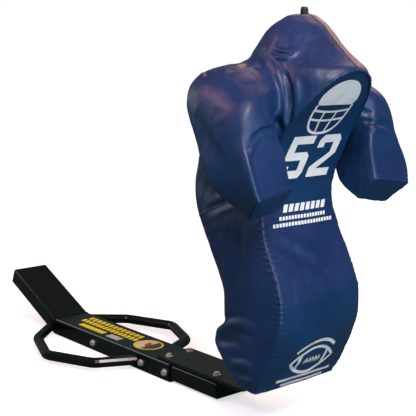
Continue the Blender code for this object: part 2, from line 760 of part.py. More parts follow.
# Sled beam and its rising tail, mitred together, and the nose tube inside the beam
bend_slope = math.tan(TAIL_RISE / 2)
beam_frame = Matrix.Translation((0, 0, BEAM_HEIGHT))
tail_frame = Matrix.Translation((0, BEAM_BEND, BEAM_HEIGHT)) @ Matrix.Rotation(TAIL_RISE, 4, "X")
nose_frame = Matrix.Translation((0, 0, NOSE_TOP))
outer_beam = box_tube(
    "outer_beam", BEAM_WIDTH, BEAM_HEIGHT, BEAM_WALL,
    (BEAM_FRONT, 0.0), (BEAM_BEND - TOUCH / 2, bend_slope), beam_frame,
)
box_tube(
    "tail_tube", BEAM_WIDTH, BEAM_HEIGHT, BEAM_WALL,
    (TOUCH / 2, -bend_slope), (TAIL_LENGTH - END_PLATE - TOUCH, 0.0), tail_frame,
)
end_plate("tail_end_plate", BEAM_WIDTH, BEAM_HEIGHT, TAIL_LENGTH - END_PLATE, tail_frame)
nose_tube = box_tube(
    "nose_tube", NOSE_WIDTH, NOSE_HEIGHT, NOSE_WALL,
    (NOSE + END_PLATE + TOUCH, 0.0), (BEAM_FRONT + NOSE_INSIDE, 0.0), nose_frame,
)
end_plate("nose_plate", NOSE_WIDTH, NOSE_HEIGHT, NOSE, nose_frame)
side_handle("side_handle_left", 1)
side_handle("side_handle_right", -1)

# Packer plate level with the beam's top, and the leaf in three stretches: foot, bend and upright
packer_half = NOSE_WIDTH / 2 - BEAM_CORNER
leaf_packer = node("leaf_packer", block(
    (-packer_half, NOSE, NOSE_TOP + TOUCH),
    (packer_half, BEAM_FRONT - TOUCH, BEAM_HEIGHT),
    Matrix.Identity(4),
), BLACK_STEEL)
upward = Vector((0, 0, 1))
leaf_foot = leaf_piece("leaf_foot", [
    (Vector((0, NOSE + LEAF_REAR, LEAF_CENTRE)), upward),
    (Vector((0, NOSE + LEAF_STRAIGHT + TOUCH, LEAF_CENTRE)), upward),
])
leaf_piece("leaf_bend", [leaf_station(LEAF_TURN * i / LEAF_STEPS) for i in range(LEAF_STEPS + 1)])
leaf_upright = leaf_piece("leaf_upright", [
    (BEND_END + RISING * TOUCH, BACKWARD), (BEND_END + RISING * LEAF_UPRIGHT, BACKWARD),
])

# Leaf bolts: head and washer on the leaf, nut under the nose tube's top wall
bore = BOLT_DIAMETER / 2 + HOLE_PLAY
leaf_nut_top = NOSE_TOP - NOSE_WALL - TOUCH - LEAF_TOP
leaf_spots = [
    Matrix.Translation((side * LEAF_BOLT_SPACING / 2, NOSE + place, LEAF_TOP))
    for place in LEAF_BOLT_PLACES
    for side in (-1, 1)
]
for number, spot in enumerate(leaf_spots, 1):
    tip = leaf_nut_top - NUT_THICKNESS - BOLT_TAIL
    node(f"leaf_bolt_{number}", hex_bolt(spot, WASHER_THICKNESS + 2 * TOUCH, tip), ZINC)
    rest = washer(spot, bore, WASHER_DIAMETER, TOUCH, TOUCH + WASHER_THICKNESS)
    node(f"leaf_washer_{number}", rest, ZINC)
    holder = nut(spot, bore, BOLT_FLATS, leaf_nut_top - NUT_THICKNESS, leaf_nut_top)
    node(f"leaf_nut_{number}", holder, ZINC)
for plate in (leaf_foot, leaf_packer, outer_beam, nose_tube):
    cut(plate, tool(*[bar(spot, bore, leaf_nut_top - TOUCH, TOUCH) for spot in leaf_spots]))

# Cross bolts: through both sides of the beam and of the nose tube, heads on the right
cross_spots = [
    Matrix.Translation((-BEAM_WIDTH / 2, NOSE + place, CROSS_BOLT_HEIGHT))
    @ Matrix.Rotation(-math.pi / 2, 4, "Y")
    for place in CROSS_BOLT_PLACES
]
cross_nut_top = -(BEAM_WIDTH + TOUCH)
for number, spot in enumerate(cross_spots, 1):
    tip = cross_nut_top - NUT_THICKNESS - BOLT_TAIL
    node(f"cross_bolt_{number}", hex_bolt(spot, WASHER_THICKNESS + 2 * TOUCH, tip), ZINC)
    rest = washer(spot, bore, WASHER_DIAMETER, TOUCH, TOUCH + WASHER_THICKNESS)
    node(f"cross_washer_{number}", rest, ZINC)
    holder = nut(spot, bore, BOLT_FLATS, cross_nut_top - NUT_THICKNESS, cross_nut_top)
    node(f"cross_nut_{number}", holder, ZINC)
for plate in (outer_beam, nose_tube):
    cut(plate, tool(*[bar(spot, bore, cross_nut_top, TOUCH) for spot in cross_spots]))

# Backing board, held to the upright by bolts whose flat heads are let into it
board_bore = BOARD_BOLT_DIAMETER / 2 + HOLE_PLAY
board_nut_top = -(BOARD_THICKNESS + TOUCH + LEAF_THICKNESS + TOUCH)
board_tip = board_nut_top - FLANGE_NUT_THICKNESS - BOARD_BOLT_TAIL
board_spots = [
    UPRIGHT
    @ Matrix.Translation((side * BOARD_BOLT_SPACING / 2, BOARD_FRONT, rise))
    @ Matrix.Rotation(math.pi / 2, 4, "X")
    for rise in BOARD_BOLT_RISES
    for side in (-1, 1)
]
backing_board = node("backing_board", block(
    (-BOARD_WIDTH / 2, BOARD_FRONT, BOARD_RISE),
    (BOARD_WIDTH / 2, BOARD_BACK, BOARD_RISE + BOARD_HEIGHT),
    UPRIGHT,
), PLYWOOD)
for number, spot in enumerate(board_spots, 1):
    node(f"board_bolt_{number}", elevator_bolt(spot, board_tip), ZINC)
    holder = flange_nut(spot, board_bore, board_nut_top - FLANGE_NUT_THICKNESS, board_nut_top)
    node(f"board_nut_{number}", holder, ZINC)
cap_bore = BOARD_BOLT_CAP / 2 + HOLE_PLAY
cut(backing_board, tool(*[bar(spot, board_bore, -(BOARD_THICKNESS + TOUCH), TOUCH) for spot in board_spots]))
cut(backing_board, tool(*[bar(spot, cap_bore, -(BOARD_BOLT_HEAD + TOUCH), TOUCH) for spot in board_spots]))
cut(leaf_upright, tool(*[bar(spot, board_bore, board_nut_top, -BOARD_THICKNESS) for spot in board_spots]))

# Foam blocks. The lower foam is parted at the board's front, and each block is hollow and open below.
pocket_back = BOARD_FRONT - board_tip + FOAM_FIT
pocket_half = BOARD_BOLT_SPACING / 2 + FLANGE_DIAMETER
slot_front = BEND_CENTRE.y - LEAF_BEND - LEAF_THICKNESS / 2 - SLOT_FRONT
slot_half = LEAF_WIDTH / 2 + SLOT_SIDE
fit_half = BOARD_WIDTH / 2 + FOAM_FIT
fit_leaf = LEAF_WIDTH / 2 + FOAM_FIT


def pockets():
    """Cutters for the board, the leaf and the nuts, open below."""
    return (
        tool(block(
            (-fit_half, BOARD_FRONT - FOAM_FIT, -FAR),
            (fit_half, BOARD_BACK + FOAM_FIT, BOARD_RISE + BOARD_HEIGHT + FOAM_FIT),
            UPRIGHT,
        )),
        tool(block(
            (-fit_leaf, BOARD_BACK, -FAR),
            (fit_leaf, LEAF_THICKNESS / 2 + FOAM_FIT, LEAF_UPRIGHT + FOAM_FIT),
            UPRIGHT,
        )),
        tool(block(
            (-pocket_half, 0.0, -FAR),
            (pocket_half, pocket_back, BOARD_BOLT_RISES[-1] + FLANGE_DIAMETER),
            UPRIGHT,
        )),
    )


def leaf_slot():
    """The room that the leaf's bend needs under the pad when the pad rocks."""
    room = block((-slot_half, slot_front, -FAR), (slot_half, FAR, BEND_END.z + SLOT_RISE), Matrix.Identity(4))
    return tool(room)


def behind(depth):
    """All that lies behind a plane along the upright."""
    return tool(block((-FAR, depth, -FAR), (FAR, FAR, FAR), UPRIGHT))


def before(depth):
    """All that lies in front of a plane along the upright."""
    return tool(block((-FAR, -FAR, -FAR), (FAR, depth, FAR), UPRIGHT))


hollow_front = BOARD_FRONT - BOARD_FOAM
hollow_back = pocket_back - FOAM_FIT
lower_block = lower_rings(FOAM_INSET, FOAM_INSET, BLOCK_GAP)
lower_hollow = lower_rings(FOAM_INSET + FOAM_WALL, -FOAM_WALL, FOAM_WALL)
foam_lower_front = node("foam_lower_front", pad_solid(lower_block), FOAM, 40)
cut(foam_lower_front, behind(BOARD_FRONT - FOAM_FIT / 2))
cut(foam_lower_front, cut(tool(pad_solid(lower_hollow)), behind(hollow_front)))
foam_lower_rear = node("foam_lower_rear", pad_solid(lower_block), FOAM, 40)
cut(foam_lower_rear, before(BOARD_FRONT + FOAM_FIT / 2))
cut(foam_lower_rear, cut(tool(pad_solid(lower_hollow)), before(hollow_back)))
cut(foam_lower_rear, leaf_slot())
upper_block = crowned(upper_rings(FOAM_INSET, (*FACE_ROWS, *HOOD_ROWS), BLOCK_GAP), FOAM_INSET)
upper_hollow = upper_rings(FOAM_INSET + FOAM_WALL, HOLLOW_ROWS, -FOAM_WALL)
foam_upper = node("foam_upper", pad_solid(upper_block), FOAM, 40)
cut(foam_upper, cut(tool(pad_solid(upper_hollow)), behind(hollow_front)))
cut(foam_upper, cut(tool(pad_solid(upper_hollow)), before(hollow_back)))
for foam in (foam_lower_rear, foam_upper):
    for pocket in pockets():
        cut(foam, pocket)

# Cover: front, two sides and bottom below the cross seam, face panel and two hood halves above it
lower_skins = [lower_rings(inset, 0.0, SEAM_GAP) for inset in (0.0, COVER)]
face_skins = [upper_rings(inset, FACE_ROWS, SEAM_GAP) for inset in (0.0, COVER)]
hood_rows = (*FACE_ROWS, *HOOD_ROWS)
hood_skins = [crowned(upper_rings(inset, hood_rows, SEAM_GAP), inset) for inset in (0.0, COVER)]
covers = []
for name, skins, start, end in (
    ("cover_front", lower_skins, -CORNER, CORNER),
    ("cover_side_left", lower_skins, CORNER, HALF),
    ("cover_side_right", lower_skins, HALF, RING - CORNER),
    ("cover_face", face_skins, -CORNER, CORNER),
):
    grids = [columns(rings, start, end) for rings in skins]
    covers.append(node(name, panel(*grids, pad_leans(start, end)), NAVY_VINYL, 40))
for name, mirror in (("cover_hood_left", 1), ("cover_hood_right", -1)):
    grids = [hood_half(rings, mirror) for rings in hood_skins]
    covers.append(node(name, panel(*grids, pad_leans(CORNER, HALF)), NAVY_VINYL, 40))
bottom_inset = COVER + TOUCH
cover_bottom = node("cover_bottom", pad_solid([
    ring(hem_height, bottom_inset), ring(lambda place: hem_height(place) + COVER, bottom_inset),
]), NAVY_VINYL)
covers.append(cut(cover_bottom, leaf_slot()))

# Closure flap down the middle of the back
flap_skins = []
for lift in (TOUCH, TOUCH + FLAP_THICKNESS):
    rows = []
    for points in lower_skins[0][FLAP_FIRST_ROW:FLAP_LAST_ROW + 1]:
        middle, beside = points[HALF], points[HALF - 1]
        reach = (beside - middle) * (FLAP_WIDTH / 2 / beside.x)
        back = Vector((0, lift, 0))
        mirrored = Vector((-reach.x, reach.y, reach.z))
        rows.append([middle + reach + back, middle + back, middle + mirrored + back])
    flap_skins.append(rows)
covers.append(node("closure_flap", panel(*flap_skins, pad_leans(HALF - 1, HALF + 1)), NAVY_VINYL))

# Webbing loop, standing on the crown
loop_skins = []
for radius in (LOOP_SPAN / 2, LOOP_SPAN / 2 - WEBBING_THICKNESS):
    arch = [(-radius, 0.0)]
    for i in range(LOOP_STEPS + 1):
        angle = math.pi * (1 - i / LOOP_STEPS)
        arch.append((radius * math.cos(angle), LOOP_HEIGHT - LOOP_SPAN / 2 + radius * math.sin(angle)))
    arch.append((radius, 0.0))
    loop_skins.append([
        [Vector((x, LOOP_PLACE + y, CROWN_HEIGHT + TOUCH + z)) + PAD_SHIFT for y, z in arch]
        for x in (-WEBBING_WIDTH / 2, WEBBING_WIDTH / 2)
    ])
crown_loop = node("crown_loop", panel(*loop_skins), WEBBING)

# Arms: hollow foam, open where it meets the body, with a sleeve and an end panel
arm_root = SHOULDER_HALF + TOUCH
arms = {}
for side_name, mirror in (("left", 1), ("right", -1)):
    block_rings = arm_rings(mirror, FOAM_INSET, TOUCH, arm_root + FOAM_INSET)
    foam_arm = node(f"foam_arm_{side_name}", loft(block_rings, ARM_LEANS), FOAM, 40)
    wall = FOAM_INSET + FOAM_WALL
    cut(foam_arm, tool(loft(arm_rings(mirror, wall, FOAM_WALL, SHOULDER_HALF / 2), ARM_LEANS)))
    skins = [arm_rings(mirror, inset, 0.0, arm_root + inset) for inset in (0.0, COVER)]
    sleeve_piece = node(f"sleeve_{side_name}", sleeve(*skins), NAVY_VINYL, 40)
    hand_end = ARM_ROWS[0][0] - TOUCH
    hand = [arm_ring(mirror, ARM_ROWS[0], 0.0, along, arm_root) for along in (hand_end, hand_end - COVER)]
    end_panel = node(f"sleeve_end_{side_name}", loft(hand), NAVY_VINYL, 40)
    arms[mirror] = [foam_arm, sleeve_piece, end_panel]

# Moving pieces hang from empties on their joints' axes
board_set = [made for made in bpy.data.objects if made.name.startswith(("board_", "backing_"))]
pad_pieces = [leaf_upright, *board_set, foam_lower_front, foam_lower_rear, foam_upper, crown_loop, *covers]
pad_pivot = pivot("pad_pivot", leaf_station(LEAF_TURN / 2)[0], pad_pieces)
for side_name, mirror in (("left", 1), ("right", -1)):
    shoulder = arm_point(mirror, SHOULDER_HALF, ARM_PIVOT_ALONG, 0.0)
    arm_pivot = pivot(f"arm_{side_name}_pivot", shoulder, arms[mirror])
    arm_pivot.parent = pad_pivot
    arm_pivot.matrix_parent_inverse = pad_pivot.matrix_world.inverted()
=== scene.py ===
# %% [markdown]
# # A tackling dummy on a one-man sled
# The object has two halves that could hardly be less alike: a low sled of black enamelled box tube,
# and a hooded figure of foam in a sewn cover of navy vinyl-coated cloth, which stands on a spring-steel
# leaf. The steel is already modelled, so this script keeps it and gives it a finish. The cover is what
# makes the object, so most of the work here is cloth.
# Everything is in metres, +Z up. The figure faces -Y, and +X is its left side.

# %% The modelled steel, and the room that it takes
import math

import bmesh
import bpy
import numpy as np
from mathutils import Matrix, Vector, noise
from mathutils.bvhtree import BVHTree


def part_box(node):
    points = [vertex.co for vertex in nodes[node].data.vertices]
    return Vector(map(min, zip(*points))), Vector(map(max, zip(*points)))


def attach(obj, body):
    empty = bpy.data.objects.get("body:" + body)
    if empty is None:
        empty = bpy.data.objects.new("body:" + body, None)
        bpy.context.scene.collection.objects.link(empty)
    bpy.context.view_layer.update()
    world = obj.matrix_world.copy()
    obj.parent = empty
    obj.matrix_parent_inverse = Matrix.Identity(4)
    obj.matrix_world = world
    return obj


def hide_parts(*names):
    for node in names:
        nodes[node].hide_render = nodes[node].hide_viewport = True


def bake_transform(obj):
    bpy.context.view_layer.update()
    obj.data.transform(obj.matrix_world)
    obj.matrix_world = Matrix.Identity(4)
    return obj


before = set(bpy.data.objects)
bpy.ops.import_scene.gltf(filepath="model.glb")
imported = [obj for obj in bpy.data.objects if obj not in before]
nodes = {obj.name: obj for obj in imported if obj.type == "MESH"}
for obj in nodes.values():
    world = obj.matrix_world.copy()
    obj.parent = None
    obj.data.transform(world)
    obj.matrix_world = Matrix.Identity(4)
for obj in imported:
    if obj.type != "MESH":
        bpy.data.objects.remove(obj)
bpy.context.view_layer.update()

# %% [markdown]
# ## Colours and a way to build materials
# Colours are written as a designer picks them, as sRGB hex. The shader wants linear light, so one
# function turns them over. A material is a handful of nodes, and one small function adds each of them
# with its settings and its links, so that a material reads from top to bottom.

# %% Colour and node helpers
def linear(hex_colour):
    """An sRGB hex colour as linear RGBA."""
    values = [int(hex_colour[i:i + 2], 16) / 255 for i in (1, 3, 5)]
    return (*[v / 12.92 if v <= 0.04045 else ((v + 0.055) / 1.055) ** 2.4 for v in values], 1.0)


def add(material, kind, settings=None, stops=(), **links):
    """Adds a node. Settings are its properties or its sockets' values, stops are the places and colours
    of a colour ramp, and links come from other sockets."""
    made = material.node_tree.nodes.new(kind)
    for name, value in (settings or {}).items():
        if isinstance(name, int) or name in made.inputs:
            made.inputs[name].default_value = value
        else:
            setattr(made, name, value)
    for _ in stops[2:]:
        made.color_ramp.elements.new(0.5)
    for k, (place, value) in enumerate(stops):
        made.color_ramp.elements[k].position = place
        made.color_ramp.elements[k].color = linear(value) if isinstance(value, str) else (value,) * 3 + (1.0,)
    for name, source in links.items():
        socket = made.inputs[int(name[1:]) if name[1:].isdigit() else name.replace("_", " ")]
        material.node_tree.links.new(source, socket)
    return made


def new_material(name, colour, **settings):
    """A Principled material with a plain colour, and its shader."""
    material = bpy.data.materials.new(name)
    material.use_nodes = True
    shader = material.node_tree.nodes["Principled BSDF"]
    shader.inputs["Base Color"].default_value = linear(colour)
    for socket, value in settings.items():
        shader.inputs[socket.replace("_", " ")].default_value = value
    return material, shader


def link(material, source, shader, socket):
    material.node_tree.links.new(source, shader.inputs[socket])


print("white is", linear("#FFFFFF"))

# %% [markdown]
# ## Camera, floor and light
# The picture looks a little down on the figure's right front corner. A long lens keeps the steel's edges
# nearly parallel. The floor and the far background are plain white, and a shadow ties the sled to the
# floor. Black steel and dark vinyl would turn grey if they were lit by all that white and mirrored it. So
# the white is shown to the camera's own rays. Gloss gets a small share of it, and the light that comes
# back from the floor is that of a darker one with a little teal in it.

# %% Camera
PICTURE = 416                      # pixels each way
FOCAL_PIXELS = 903.19
SENSOR = 36.0
EYE = Vector((-2.1321, -3.1432, 1.2072))
YAW, PITCH, ROLL = math.radians(39.70), math.radians(8.66), -0.0070
forward = Vector((math.sin(YAW) * math.cos(PITCH), math.cos(YAW) * math.cos(PITCH), -math.sin(PITCH)))
level = Vector((math.cos(YAW), -math.sin(YAW), 0.0))
raised = level.cross(forward)
rightward = level * math.cos(ROLL) + raised * math.sin(ROLL)
upward = raised * math.cos(ROLL) - level * math.sin(ROLL)


def into_scene(name, data):
    """A new object in the scene, from its mesh, lamp or camera data."""
    made = bpy.data.objects.new(name, data)
    bpy.context.scene.collection.objects.link(made)
    return made


camera_data = bpy.data.cameras.new("camera")
camera_data.sensor_width = SENSOR
camera_data.lens = FOCAL_PIXELS / PICTURE * SENSOR
camera = into_scene("camera", camera_data)
camera.matrix_world = Matrix.Translation(EYE) @ Matrix((rightward, upward, -forward)).transposed().to_4x4()
bpy.context.scene.camera = camera
bpy.context.scene.view_settings.view_transform = "Standard"
print("lens in mm:", round(camera_data.lens, 2))

# %% The floor
FLOOR_RADIUS = 40.0
FLOOR_DROP = 0.0004                # the floor lies just under the steel
FLOOR_WHITE = "#EEF1F7"            # as the camera sees it
BOUNCE_TINT = "#46585C"            # as it lights the object from below
MIRROR_TINT = "#B4DCD4"            # as gloss mirrors it
MIRRORED_SHARE = 0.07              # how much of the white gloss gets
NEAR_GLOW, FAR_GLOW = 0.60, 1.0    # weaker near the object, so that its shadow stays
GLOW_START, GLOW_END = 1.6, 4.5    # metres from the origin between which it grows


def whole_turn(steps):
    """Angles evenly spaced round a full turn."""
    return np.linspace(0, math.tau, steps + 1)[:-1]


def shown_to(owner):
    """Which rays are the camera's own, and how much of a white glow each ray is shown."""
    ray = add(owner, "ShaderNodeLightPath")
    mirrored = add(owner, "ShaderNodeMath", {"operation": "MAXIMUM"},
                   i0=ray.outputs["Is Glossy Ray"], i1=ray.outputs["Is Transmission Ray"])
    share = add(owner, "ShaderNodeMath", {"operation": "MULTIPLY_ADD", 1: MIRRORED_SHARE},
                i0=mirrored.outputs[0], i2=ray.outputs["Is Camera Ray"])
    return ray.outputs["Is Camera Ray"], share.outputs[0]


floor_mesh = bpy.data.meshes.new("floor")
rim = [(FLOOR_RADIUS * math.cos(a), FLOOR_RADIUS * math.sin(a), -FLOOR_DROP) for a in whole_turn(96)]
floor_mesh.from_pydata(rim, [], [list(range(len(rim)))])
floor = into_scene("floor", floor_mesh)

white_floor, floor_shader = new_material("white_floor_paint", FLOOR_WHITE,
                                         Roughness=0.9, Specular_IOR_Level=0.2)
floor_seen, floor_share = shown_to(white_floor)
floor_tone = add(white_floor, "ShaderNodeMix",
                 {"data_type": "RGBA", 6: linear(BOUNCE_TINT), 7: linear(FLOOR_WHITE)}, i0=floor_seen)
link(white_floor, floor_tone.outputs[2], floor_shader, "Base Color")
floor_place = add(white_floor, "ShaderNodeTexCoord")
floor_away = add(white_floor, "ShaderNodeVectorMath", {"operation": "LENGTH"},
                 i0=floor_place.outputs["Object"])
floor_fade = add(white_floor, "ShaderNodeMapRange", {1: GLOW_START, 2: GLOW_END, 3: NEAR_GLOW, 4: FAR_GLOW},
                 i0=floor_away.outputs["Value"])
floor_glow = add(white_floor, "ShaderNodeMath", {"operation": "MULTIPLY"},
                 i0=floor_share, i1=floor_fade.outputs[0])
shine_tone = add(white_floor, "ShaderNodeMix",
                 {"data_type": "RGBA", 6: linear(MIRROR_TINT), 7: linear("#FFFFFF")}, i0=floor_seen)
shine = add(white_floor, "ShaderNodeEmission", Strength=floor_glow.outputs[0], Color=shine_tone.outputs[2])
both = add(white_floor, "ShaderNodeAddShader", i0=floor_shader.outputs[0], i1=shine.outputs[0])
link(white_floor, both.outputs[0], white_floor.node_tree.nodes["Material Output"], "Surface")
floor_mesh.materials.append(white_floor)
print("floor across in metres:", 2 * FLOOR_RADIUS)

# %% World: a white band round the horizon under a dimmer ceiling
AMBIENT = (0.085, 0.115, 0.125)
world = bpy.data.worlds.new("studio")
bpy.context.scene.world = world
world.use_nodes = True
way = add(world, "ShaderNodeTexCoord")
height = add(world, "ShaderNodeSeparateXYZ", i0=way.outputs["Generated"])
band = add(world, "ShaderNodeValToRGB", stops=[(0.0, 1.0), (0.13, 1.0), (0.22, 0.16), (1.0, 0.22)],
           i0=height.outputs["Z"])
sky = add(world, "ShaderNodeMix", {"data_type": "RGBA", 6: (*AMBIENT, 1.0)},
          i0=shown_to(world)[1], i7=band.outputs[0])
link(world, sky.outputs[2], world.node_tree.nodes["Background"], "Color")
world.node_tree.nodes["Background"].inputs["Strength"].default_value = 1.0
print("plain light from all round:", AMBIENT)

# %% [markdown]
# A big soft lamp high in front does most of the work, as a softbox would. A weaker one at chest height
# opens the shade under the hood. A wide warm one overhead gives the hood's ridge and the shoulders their
# brownish sheen, a rosy one on the near side turns the flanks a little violet, and a faint one behind
# keeps the back from sinking into black.

# %% Lamps
def softbox(name, place, aim, size, power, colour):
    """A square area lamp, turned towards a point."""
    data = bpy.data.lights.new(name, "AREA")
    data.size = size
    data.energy = power
    data.color = linear(colour)[:3]
    lamp = into_scene(name, data)
    lamp.location = place
    lamp.rotation_euler = (Vector(aim) - Vector(place)).to_track_quat("-Z", "Y").to_euler()


CHEST = (0.0, -0.95, 0.9)
softbox("key", (-1.5, -3.6, 3.6), CHEST, 1.3, 142, "#FFF0F2")
softbox("front", (-0.5, -4.1, 1.2), CHEST, 1.5, 58, "#E4EAFF")
softbox("ceiling", (1.8, -0.3, 2.9), (0, -1.0, 1.2), 2.2, 50, "#FFC49C")
softbox("side", (-2.2, 0.2, 2.9), (0, -0.8, 0.9), 1.6, 46, "#FFBCC4")
softbox("back", (-1.5, 2.7, 1.9), (0, -0.8, 0.8), 1.6, 20, "#E6EEFF")
print("lamps:", len(bpy.data.lights))

# %% [markdown]
# ## Steel
# The sled is mild-steel box tube and pipe under gloss black alkyd enamel, sprayed on. Sprayed enamel
# is never quite flat: its skin has the ripple of orange peel, a few millimetres across, and it scuffs
# to a duller patch where boots and turf rub it. The leaf is spring steel with a thinner, grainier coat.
# The bolts are zinc plated, which leaves a soft, pale grey metal with a faint warm cast and cloudy patches.

# %% Enamel, zinc and the finishes inside
def enamel(name, colour, dull, shiny, grain_mm, relief):
    """Sprayed enamel: roughness between two values in patches, and a fine ripple."""
    material, shader = new_material(name, colour, IOR=1.5, Specular_IOR_Level=0.4)
    place = add(material, "ShaderNodeTexCoord").outputs["Object"]
    patches = add(material, "ShaderNodeTexNoise", {"Scale": 14.0, "Detail": 6.0, "Roughness": 0.62},
                  Vector=place)
    wear = add(material, "ShaderNodeValToRGB", stops=[(0.35, shiny), (0.62, shiny * 1.25), (0.75, dull)],
               i0=patches.outputs[0])
    link(material, wear.outputs[0], shader, "Roughness")
    specks = add(material, "ShaderNodeTexNoise", {"Scale": 420.0, "Detail": 3.0}, Vector=place)
    dust = add(material, "ShaderNodeValToRGB", stops=[(0.0, colour), (0.64, colour), (0.74, "#3A3B33")],
               i0=specks.outputs[0])
    link(material, dust.outputs[0], shader, "Base Color")
    ripple = add(material, "ShaderNodeTexNoise", {"Scale": 1000.0 / grain_mm, "Detail": 2.0}, Vector=place)
    bump = add(material, "ShaderNodeBump", {"Strength": relief, "Distance": 0.0006}, Height=ripple.outputs[0])
    link(material, bump.outputs[0], shader, "Normal")
    return material


def zinc_plate():
    """Bright zinc: cloudy grey metal with a faint warm cast."""
    material, shader = new_material("zinc_plated_steel", "#E2DED2", Metallic=0.72)
    place = add(material, "ShaderNodeTexCoord").outputs["Object"]
    clouds = add(material, "ShaderNodeTexNoise", {"Scale": 180.0, "Detail": 5.0}, Vector=place)
    tone = add(material, "ShaderNodeValToRGB", stops=[(0.3, "#CCC8BA"), (0.55, "#ECE9E0"), (0.8, "#D9CFAE")],
               i0=clouds.outputs[0])
    link(material, tone.outputs[0], shader, "Base Color")
    gloss = add(material, "ShaderNodeValToRGB", stops=[(0.3, 0.50), (0.7, 0.34)], i0=clouds.outputs[0])
    link(material, gloss.outputs[0], shader, "Roughness")
    return material


def plywood():
    """Birch plywood: fine grain along the board and faint darker streaks."""
    material, shader = new_material("birch_plywood", "#C9A876", Roughness=0.62)
    place = add(material, "ShaderNodeTexCoord").outputs["Object"]
    drawn = add(material, "ShaderNodeMapping", {"Scale": (1.0, 1.0, 0.06)}, Vector=place)
    grain = add(material, "ShaderNodeTexNoise", {"Scale": 260.0, "Detail": 6.0}, Vector=drawn.outputs[0])
    tone = add(material, "ShaderNodeValToRGB", stops=[(0.3, "#A9834F"), (0.6, "#CDAE7C"), (0.8, "#DCC296")],
               i0=grain.outputs[0])
    link(material, tone.outputs[0], shader, "Base Color")
    bump = add(material, "ShaderNodeBump", {"Strength": 0.15, "Distance": 0.0004}, Height=grain.outputs[0])
    link(material, bump.outputs[0], shader, "Normal")
    return material


def open_cell_foam():
    """Charcoal polyurethane foam: matt, with cells of about 2 mm, each darker towards its middle as painted
    shade in the pore.
    """
    material, shader = new_material("charcoal_polyurethane_foam", "#3B3B3E", Roughness=0.95)
    place = add(material, "ShaderNodeTexCoord").outputs["Object"]
    cells = add(material, "ShaderNodeTexVoronoi", {"Scale": 500.0}, Vector=place)
    # Painted shade: each cell is darker at its middle, where the bump below makes a pit.
    tone = add(material, "ShaderNodeValToRGB", stops=[(0.0, "#26262A"), (0.6, "#46464A")],
               i0=cells.outputs["Distance"])
    link(material, tone.outputs[0], shader, "Base Color")
    bump = add(material, "ShaderNodeBump", {"Strength": 0.6, "Distance": 0.001},
               Height=cells.outputs["Distance"])
    link(material, bump.outputs[0], shader, "Normal")
    return material


black_enamel = enamel("gloss_black_enamel", "#070B08", 0.5, 0.17, 3.5, 0.12)
leaf_enamel = enamel("grainy_black_leaf_enamel", "#0C1510", 0.55, 0.30, 2.0, 0.35)
zinc = zinc_plate()
wood = plywood()
foam = open_cell_foam()


def finish_for(node):
    """The finish of one modelled piece, by what it is."""
    if node.startswith(("leaf_foot", "leaf_bend", "leaf_upright")):
        return leaf_enamel
    if "bolt" in node or "nut" in node or "washer" in node:
        return zinc
    if node == "backing_board":
        return wood
    if node.startswith("foam_"):
        return foam
    return black_enamel


for name, piece in nodes.items():
    piece.data.materials.clear()
    piece.data.materials.append(finish_for(name))
print("finished pieces of the model:", len(nodes))

# %% [markdown]
# ## A few ways to build meshes
# Most small things on this object are a strip laid along a line, such as a weld bead, a welt or a
# printed stroke. One helper makes a mesh object and gives it to the body that it rides on. Another
# sweeps a round section along a path.

# %% Mesh helpers
def make(name, points, faces, material, body=None, smooth=True):
    """A mesh object from points and faces, riding on a body."""
    mesh = bpy.data.meshes.new(name)
    mesh.from_pydata([tuple(p) for p in points], [], faces)
    mesh.validate()
    mesh.materials.append(material)
    if smooth:
        mesh.shade_smooth()
    made = into_scene(name, mesh)
    if body:
        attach(made, body)
    return made


def grid_faces(rows, columns, closed_rows=False, closed_columns=False):
    """Quads over a grid of points, row by row."""
    faces = []
    for i in range(rows if closed_rows else rows - 1):
        for j in range(columns if closed_columns else columns - 1):
            a, b = i * columns, (i + 1) % rows * columns
            c, d = j, (j + 1) % columns
            faces.append((a + c, a + d, b + d, b + c))
    return faces


def sweep(path, radius_at, sides=8, closed=False, flat=1.0, normals=None):
    """Points and faces of a section swept along a path. flat squeezes it along the normals."""
    path = [Vector(p) for p in path]
    count = len(path)
    points = []
    side = None
    for k, here in enumerate(path):
        before = path[(k - 1) % count] if closed or k else here
        after = path[(k + 1) % count] if closed or k < count - 1 else here
        along = (after - before).normalized()
        if normals is not None:
            up = (normals[k] - along * normals[k].dot(along)).normalized()
        else:
            up = along.orthogonal() if side is None else side.cross(along) * -1
            up = (up - along * up.dot(along)).normalized()
        side = along.cross(up)
        radius = radius_at(k / max(count - 1, 1))
        for i in range(sides):
            angle = math.tau * i / sides
            points.append(here + side * (radius * math.cos(angle)) + up * (radius * flat * math.sin(angle)))
    faces = grid_faces(count, sides, closed_rows=closed, closed_columns=True)
    if not closed:
        faces.append(tuple(range(sides - 1, -1, -1)))
        faces.append(tuple(range((count - 1) * sides, count * sides)))
    return points, faces


def curve_through(points, steps):
    """A smooth curve through points, by Catmull-Rom pieces."""
    points = [np.array(p, float) for p in points]
    found = []
    for i in range(len(points) - 1):
        b, c = points[i], points[i + 1]
        a = points[i - 1] if i else 2 * b - c
        d = points[i + 2] if i + 2 < len(points) else 2 * c - b
        for t in np.arange(steps) / steps:
            found.append(0.5 * (2 * b + (c - a) * t + (2 * a - 5 * b + 4 * c - d) * t ** 2
                                + (3 * b - 3 * c + d - a) * t ** 3))
    found.append(points[-1])
    return found


print("helpers ready")

# %% [markdown]
# ## Welds
# The tail is mitred to the beam and welded all round, and each handle is welded where its pipe meets
# the beam. A stick weld is a row of overlapping drops, so the bead's radius rises and falls every few
# millimetres.

# %% Weld beads
beam_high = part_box("outer_beam")[1]
BEAM_SIDE, BEAM_TOP = beam_high.x, beam_high.z
BEND_PLACE = 0.4335                # where the tail begins, on the beam's top
BEND_FALL = math.tan(math.radians(12.05))
DROP_MM = 5.0                      # length of one drop of weld


